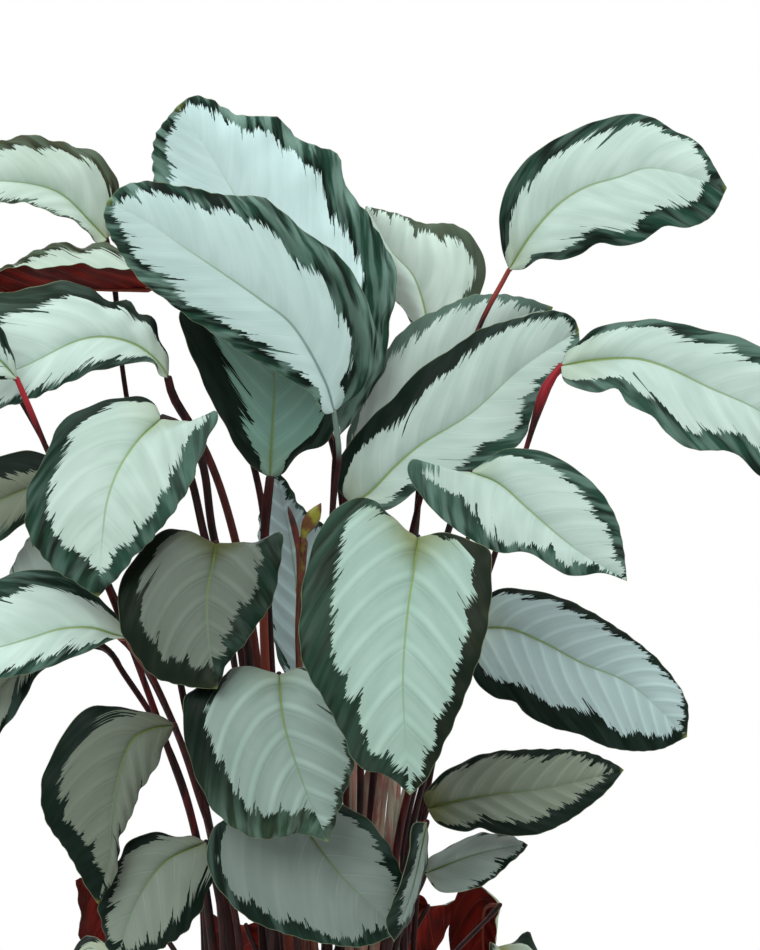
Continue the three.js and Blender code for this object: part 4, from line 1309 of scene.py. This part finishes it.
# red is how red a petiole's top is, pale how pale its foot and green how green its top, under 0 how
# brown the rest. swelling is how far in mm its top swells, and girth how thick it is beside the others.
plainPetiole = {"red": 0.0, "pale": 0.0, "green": 0.0, "swelling": 0.3, "girth": 1.0}
redChance = (0.45, 0.618)  # how red petioles are at most, and the step from one to the next
petioleLooks = {
    "leaf_19": {"red": 1.0, "swelling": 1.5},
    "leaf_18": {"red": 0.7, "swelling": 0.1},
    "leaf_04b": {"red": 0.95},
    "leaf_04": {"red": 0.3, "green": -0.25, "girth": 1.6},
    "leaf_02": {"girth": 1.3},
    "leaf_05": {"girth": 1.6},
    "back_leaf_05": {"girth": 1.8},
    "leaf_08": {"red": 0.6, "swelling": 1.0},
    "leaf_14": {"red": 0.4, "green": -0.9, "girth": 1.75},
    "leaf_03": {"red": 0.2, "green": 0.9, "swelling": 0.2},
    "leaf_12": {"pale": 0.35, "green": -0.3},
    "leaf_15": {"pale": 0.6, "girth": 1.4},
    "leaf_17": {"pale": 0.7, "girth": 1.3},
    "leaf_20": {"pale": 0.5, "green": -0.3, "girth": 1.3},
    "back_leaf_01": {"girth": 1.6},
    "back_leaf_02": {"pale": 0.3, "green": -0.3, "girth": 1.6},
    "back_leaf_03": {"pale": 0.6, "girth": 1.4},
    "right_leaf_01": {"pale": 0.5, "girth": 1.6},
}


def petioleSizes(name, index, size, line, material):
    reddest, step = redChance
    stem = {**plainPetiole, "red": reddest * (index * step % 1), **petioleLooks.get(name, {})}
    return {
        "Foot Radius": stalk["petioleFoot"] * size,
        "Top Radius": stalk["petioleTop"] * size * stem["girth"],
        "Taper": stalk["taper"],
        "Swelling": stem["swelling"] * mm * size,
        "Swelling Place": stalk["pulvinusPlace"],
        "Swelling Span": stalk["pulvinusSpan"],
        "Round End": stalk["tipPast"] / steps(line)[-1],
        "Sides": stalk["petioleSides"],
        "Redness": -stem["pale"] if stem["pale"] else stem["red"],
        "Greenness": stem["green"],
        "Material": material,
    }


def midribLine(middle, up, size):  # under the blade, from inside its base to near its tip
    reach = int(len(middle) * stalk["ribReach"])
    picks = np.unique(np.linspace(0, reach, stalk["ribPoints"]).astype(int))
    picks = picks[picks < len(middle)]
    girth = stalk["ribFoot"] + (stalk["ribTop"] - stalk["ribFoot"]) * picks / reach
    return middle[picks] - up[picks] * (girth * size * np.clip(picks / stalk["ribStart"], 0, 1))[:, None]


def makeLeaves():
    materials = [leafTopMaterial(), leafUnderMaterial()]
    grower = stalkTree()
    petiole, ridge = petioleMaterial("petiole"), petioleMaterial("underRib", True)
    holders = []
    for index, (name, leaf) in enumerate({**leaves, **hiddenLeaves}.items()):
        hidden = name in hiddenLeaves
        source = leaves[leaf["like"]] if hidden else leaf
        look = {**plainLook, **leafLooks.get(leaf.get("like", name), {})}
        # A hidden leaf is never darker than the plain look, so it takes none of the painted shade.
        if hidden:
            look["toneAndShade"] = max(look["toneAndShade"], plainLook["toneAndShade"])
        counts = blades["hiddenGrid" if hidden else "grid"]
        blade, middle, up = bladeMesh(name + "_blade", leaf, source, look, index + 0.5, counts, materials)
        declare(blade, name)

        size = leaf.get("size", 1) ** 0.5
        line = stemLine(leaf, baseOf(leaf, source))
        sizes = petioleSizes(name, index, size, line, petiole)
        title = name + "_petiole"
        holders.append((growing(title, line, grower, sizes), title, name))
        sizes = {
            **sizes,
            "Foot Radius": stalk["ribFoot"] * size,
            "Top Radius": stalk["ribTop"] * size,
            "Taper": 1.0,
            "Swelling": 0.0,
            "Round End": 0.01,
            "Sides": stalk["ribSides"],
            "Material": ridge,
        }
        title = name + "_midrib"
        holders.append((growing(title, midribLine(middle, up, size), grower, sizes), title, name))
    print("blades", len(leaves) + len(hiddenLeaves))
    for holder, title, node in holders:
        declare(grown(holder, title), node)
    print("petioles and midribs", len(holders))


makeLeaves()


newGrowth = {  # radii in mm at shares of the shoot's length; lip is how far the rolled edge stands out
    "young_leaf": {
        "shares": (0, 0.5, 0.8, 0.85, 0.86, 0.87, 0.9, 0.925, 0.933, 0.94, 0.95, 0.963, 0.978, 0.99, 1),
        "radii": (2.3, 1.6, 1.6, 1.8, 2.3, 1.8, 2.4, 2.9, 2.8, 1.4, 2.3, 3.5, 3.4, 1.9, 0.15),
        "lip": 0.3,
        "flat": 0.5,
        "stem": ((118, 62, 30), (66, 32, 20)),
        "head": ((134, 134, 44), (96, 60, 30)),
    },
    "flower_bud": {
        "shares": (0, 0.5, 0.85, 0.925, 0.94, 0.955, 0.975, 0.99, 1),
        "radii": (1.9, 1.2, 0.9, 0.9, 1.3, 1.6, 1.5, 1.0, 0.15),
        "lip": 0.16,
        "flat": 0.85,
        "stem": ((112, 58, 28), (74, 34, 22)),
        "head": ((84, 34, 26), (36, 28, 22)),
    },
}
shootBuild = {
    "sides": 20,
    "stemRows": 40,
    "headRows": 64,
    "headFrom": 0.78,
    "leafletFrom": 0.938,
    "leafletSpan": 0.02,  # over which its rolled edge comes out of the stem
    "rollTurns": 3,
}


def ringFaces(rows, sides):  # the closed skin over rows of rings, with a pole's point at each end
    faces = []
    for r in range(rows - 1):
        for i in range(sides):
            low, high, beside = r * sides, (r + 1) * sides, (i + 1) % sides
            faces.append((low + i, low + beside, high + beside, high + i))
    last = (rows - 1) * sides
    for i in range(sides):
        faces.append((rows * sides, (i + 1) % sides, i))
        faces.append((rows * sides + 1, last + i, last + (i + 1) % sides))
    return faces


def sweep(name, line, rings, material, facts):  # a closed skin over rings of offsets along a line
    tangent = np.gradient(line, axis=0)
    tangent /= np.linalg.norm(tangent, axis=1, keepdims=True)
    right = np.array([1.0, 0, 0])
    vertices = []
    for spot, ahead, ring in zip(line, tangent, rings):
        right = right - ahead * (right @ ahead)
        right /= np.linalg.norm(right)
        up = np.cross(ahead, right)
        vertices.append(spot + ring[:, :1] * right + ring[:, 1:] * up)
    corners = np.concatenate([*vertices, line[:1], line[-1:]])
    facts = np.concatenate([facts.reshape(-1, 3), facts[0, :1], facts[-1, :1]])
    return makePiece(name, corners, ringFaces(len(line), len(rings[0])), [material], {"stalk": facts})


def shootMaterial(name, look):
    shader = Shader(name)
    share = shader.attribute("stalk")[0]
    stems, heads = ([linear(*colour) for colour in look[part]] for part in ("stem", "head"))
    streak = shader.drawnOut((700, 700, 60), 3.0)
    patch = shader.noise(shader.here(), 160)
    stem = shader.mix(streak.rise(0.35, 0.7), stems[1], stems[0])
    stem = shader.mix(patch.rise(0.55, 0.7) * 0.5, stem, heads[0])
    head = shader.scaled(shader.mix(patch.rise(0.42, 0.62), *heads), 0.8 + 0.4 * streak)
    colour = shader.mix(share.rise(shootBuild["leafletFrom"], shootBuild["leafletFrom"] + 0.004), stem, head)
    return shader.surface(colour, 0.45, streak, 0.2 * mm, 0.4)


def makeShoots():
    turns = np.linspace(0, 2 * np.pi, shootBuild["sides"], endpoint=False)
    lower = np.linspace(0, shootBuild["headFrom"], shootBuild["stemRows"])
    upper = np.linspace(shootBuild["headFrom"], 1, shootBuild["headRows"] + 1)[1:]
    shares = np.concatenate([lower, upper])
    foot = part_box("soil")[1][2] - stalk["buried"]
    for name, shoot in shoots.items():
        look = newGrowth[name]
        line = wayUp(shoot, foot, place(shoot["spindle"][:2], shoot["spindle"][2]), shares)
        radii = np.interp(shares, look["shares"], look["radii"]) * mm
        rolled = np.clip((shares - shootBuild["leafletFrom"]) / shootBuild["leafletSpan"], 0, 1)[:, None]
        roll = (turns / (2 * np.pi) + shares[:, None] * shootBuild["rollTurns"]) % 1
        reach = radii[:, None] * (1 + look["lip"] * rolled * (roll - 0.5))
        flat = 1 + (look["flat"] - 1) * rolled
        rings = np.stack([reach * np.cos(turns), reach * np.sin(turns) * flat], axis=-1)
        facts = np.stack(np.broadcast_arrays(shares[:, None], turns, 0.0), axis=-1)
        piece = sweep(name + "_shoot", line, rings, shootMaterial(name, look), facts)
        declare(piece, name)
    print("new growth")


makeShoots()

pot = {  # mm; the outer wall, the rim and the inner wall, with how round each corner is
    "profile": (
        (61, 0, 1),
        (64, 3, 2),
        (84.74, 140, 0.8),
        (88.74, 143.6, 2),
        (92, 158, 3),
        (90, 162, 1.6),
        (83, 162, 2),
        (59.89, 6, 3),
    ),
    "sides": 144,
    "cornerSteps": 6,
    "cornerMost": 0.45,  # share of a wall that a corner's arc may take
    "wallStep": 6,
    "colour": (222, 217, 206),
    "warm": (213, 207, 194),
}


def lathed(name, profile, sides, material, lift=None):  # a solid turned about the Z axis
    turns = np.linspace(0, 2 * np.pi, sides, endpoint=False)
    radius, height = np.array(profile).T
    grid = np.stack([np.outer(radius, np.cos(turns)), np.outer(radius, np.sin(turns))], axis=-1)
    grid = np.concatenate([grid, np.repeat(height, sides).reshape(-1, sides, 1)], axis=-1)
    if lift:
        grid[..., 2] += lift(grid[..., 0], grid[..., 1], grid[..., 2])
    poles = [(0, 0, height[0]), (0, 0, grid[-1, :, 2].mean())]
    corners = np.concatenate([grid.reshape(-1, 3), poles])
    return makePiece(name, corners, ringFaces(len(profile), sides), [material])


def roundedProfile(corners, count, longest):  # each corner a small arc, long walls in even steps
    spots = [np.array(corner[:2], dtype=float) for corner in corners]
    line = []
    for i, (spot, corner) in enumerate(zip(spots, corners)):
        before = spots[i - 1] if i else np.array([0, spot[1]])
        after = spots[i + 1] if i + 1 < len(spots) else np.array([0, spot[1]])
        start = spot + (before - spot) * min(corner[2] / np.linalg.norm(before - spot), pot["cornerMost"])
        end = spot + (after - spot) * min(corner[2] / np.linalg.norm(after - spot), pot["cornerMost"])
        if line:
            between = int(np.linalg.norm(start - line[-1]) / longest)
            line += [line[-1] + (start - line[-1]) * k / (between + 1) for k in range(1, between + 1)]
        for t in np.linspace(0, 1, count):
            line.append((1 - t) ** 2 * start + 2 * t * (1 - t) * spot + t**2 * end)
    return line


def potMaterial():
    shader = Shader("glazedClay")
    here = shader.here()
    cloud = shader.noise(here, 14, 3.0)
    speck = shader.noise(here, 620, 1.0)
    rings = shader.drawnOut((4, 4, 260), 2.0)
    colour = shader.mix(cloud.rise(0.35, 0.7), linear(*pot["colour"]), linear(*pot["warm"]))
    colour = shader.scaled(colour, (0.97 + 0.05 * rings) * (1 - 0.25 * speck.rise(0.68, 0.74)))
    return shader.surface(colour, 0.48 + 0.15 * cloud, rings * 0.6 + speck * 0.3, 0.25 * mm, 0.45)


def makePot():
    profile = roundedProfile(pot["profile"], pot["cornerSteps"], pot["wallStep"])
    profile = [(radius * mm, height * mm) for radius, height in profile]
    declare(lathed("pot_body", profile, pot["sides"], potMaterial()), "pot")
    print("pot")


makePot()

soil = {
    "bottomRadius": 59.63 * mm,
    "bottom": 6.3 * mm,
    "topRadius": 80.6 * mm,
    "edgeDrop": 2.2 * mm,
    "bareEdge": 4 * mm,  # no loose pieces this near to the pot
    "mound": 2.5 * mm,
    "rings": 64,
    "sides": 160,
    "waves": 70,
    "waveLengths": (4 * mm, 34 * mm),
    "waveHeight": 0.011,  # of a wave's length
    "seed": 11,
}
soilColours = palette({
    "dark": (40, 28, 22),
    "brown": (86, 62, 44),
    "darkBark": (58, 38, 26),
    "lightBark": (128, 90, 60),
    "greyPerlite": (198, 192, 180),
    "whitePerlite": (238, 235, 228),
})
scatters = {  # sizes in mm; thin is the height of a piece over its width
    "soil_crumbs": {"density": 70000.0, "small": 0.8, "large": 2.6, "thin": 0.8, "seed": 3, "detail": 1},
    "bark_chips": {"density": 5200.0, "small": 2.2, "large": 5.0, "thin": 0.35, "seed": 8, "detail": 2},
    "perlite_grains": {"density": 6200.0, "small": 1.0, "large": 2.4, "thin": 0.85, "seed": 5, "detail": 2},
}
loosePiece = {
    "bumpFineness": 1.3,
    "bumpHeight": 1.7,
    "width": 0.75,  # beside its length
    "lean": 0.12,  # share of a whole turn that it tilts at most
}


def soilLift(x, y, z):  # the same gentle mound and crumbly waves wherever it is asked
    chance = np.random.default_rng(soil["seed"])
    height = np.zeros_like(x)
    for _ in range(soil["waves"]):
        length = chance.uniform(*soil["waveLengths"])
        heading, phase = chance.uniform(0, 2 * np.pi, 2)
        along = x * np.cos(heading) + y * np.sin(heading)
        height += soil["waveHeight"] * length * np.cos(along * 2 * np.pi / length + phase)
    out = np.hypot(x, y) / soil["topRadius"]
    height += soil["mound"] * (1 - out**2) - soil["edgeDrop"] * out**6
    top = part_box("soil")[1][2]
    return np.where(z > top - 0.5 * mm, height, 0)


def soilMaterial(name, dark, bright):
    shader = Shader(name)
    grain = shader.noise(shader.here(), 380, 6.0, 0.65)
    patch = shader.noise(shader.here(), 45, 3.0)
    colour = shader.mix(grain.rise(0.35, 0.75), soilColours[dark], soilColours[bright])
    colour = shader.scaled(colour, 0.7 + 0.6 * patch)
    return shader.surface(colour, 0.85 + 0.1 * grain, grain, 1.2 * mm, 0.25)


def perliteMaterial():
    shader = Shader("perlite")
    grain = shader.noise(shader.here(), 900, 4.0)
    colour = shader.mix(grain, soilColours["greyPerlite"], soilColours["whitePerlite"])
    return shader.surface(colour, 0.9, grain, 0.3 * mm, 0.2)


def scatterTree():  # small rough pieces strewn over a surface
    kinds = {
        "Geometry": ["Ground"],
        "Float": ["Density", "Smallest", "Largest", "Thinness"],
        "Int": ["Detail", "Seed"],
        "Material": ["Material"],
    }
    grower = Grower("scatter", kinds, "Pieces")
    given = grower.given

    def chance(kind, low, high, output=0):
        first = 0 if kind == "FLOAT_VECTOR" else 2
        inputs = {first: low, first + 1: high, "Seed": given["Seed"]}
        return grower.node("FunctionNodeRandomValue", {"data_type": kind}, inputs, output)

    inputs = {"Mesh": given["Ground"], "Density": given["Density"], "Seed": given["Seed"]}
    points = grower.node("GeometryNodeDistributePointsOnFaces", {}, inputs)
    lump = grower.node("GeometryNodeMeshIcoSphere", {}, {"Radius": 1.0, "Subdivisions": given["Detail"]})
    spot = grower.node("GeometryNodeInputPosition", {}, {})
    inputs = {"Vector": spot, "Scale": loosePiece["bumpFineness"], "Detail": 2.0}
    bumps = grower.node("ShaderNodeTexNoise", {}, inputs, "Color")
    bumps = grower.scaled(grower.vectors("SUBTRACT", bumps, (0.5, 0.5, 0.5)), loosePiece["bumpHeight"])
    lump = grower.node("GeometryNodeSetPosition", {}, {"Geometry": lump, "Offset": bumps})
    turned = chance("FLOAT_VECTOR", (0, 0, 0), (2 * math.pi,) * 3)
    leaning = grower.vectors("MULTIPLY", turned, (loosePiece["lean"], loosePiece["lean"], 1.0))
    sized = chance("FLOAT", given["Smallest"], given["Largest"], 1)
    size = grower.scaled(grower.point(1.0, loosePiece["width"], given["Thinness"]), sized)
    inputs = {"Points": points, "Instance": lump, "Rotation": leaning, "Scale": size}
    return grower.end(grower.node("GeometryNodeInstanceOnPoints", {}, inputs))


def makeSoil():
    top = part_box("soil")[1][2]
    edge = soil["topRadius"]
    rings = [(edge * (1 - i / soil["rings"]), top) for i in range(soil["rings"])]
    wall = [(soil["bottomRadius"], soil["bottom"])]
    ground = soilMaterial("pottingSoil", "dark", "brown")
    piece = lathed("soil_bed", wall + rings, soil["sides"], ground, soilLift)
    declare(piece, "soil")
    grower = scatterTree()
    materials = {
        "soil_crumbs": (ground, "soil"),
        "bark_chips": (soilMaterial("bark", "darkBark", "lightBark"), "soil"),
        "perlite_grains": (perliteMaterial(), "perlite"),
    }
    free = [(radius, height) for radius, height in rings if radius < edge - soil["bareEdge"]]
    for name, sizes in scatters.items():
        holder = lathed(name + "_ground", free, soil["sides"], ground, soilLift)
        values = {
            "Density": sizes["density"],
            "Smallest": sizes["small"] * mm,
            "Largest": sizes["large"] * mm,
            "Thinness": sizes["thin"],
            "Detail": sizes["detail"],
            "Seed": sizes["seed"],
            "Material": materials[name][0],
        }
        grower.putOn(holder, values)
        declare(grown(holder, name))
    print("soil")


makeSoil()

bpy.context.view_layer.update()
shown = [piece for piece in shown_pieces() if piece.type == "MESH"]
total = sum(len(face.vertices) - 2 for piece in shown for face in piece.data.polygons)
print("pieces", len(shown), "triangles", total)
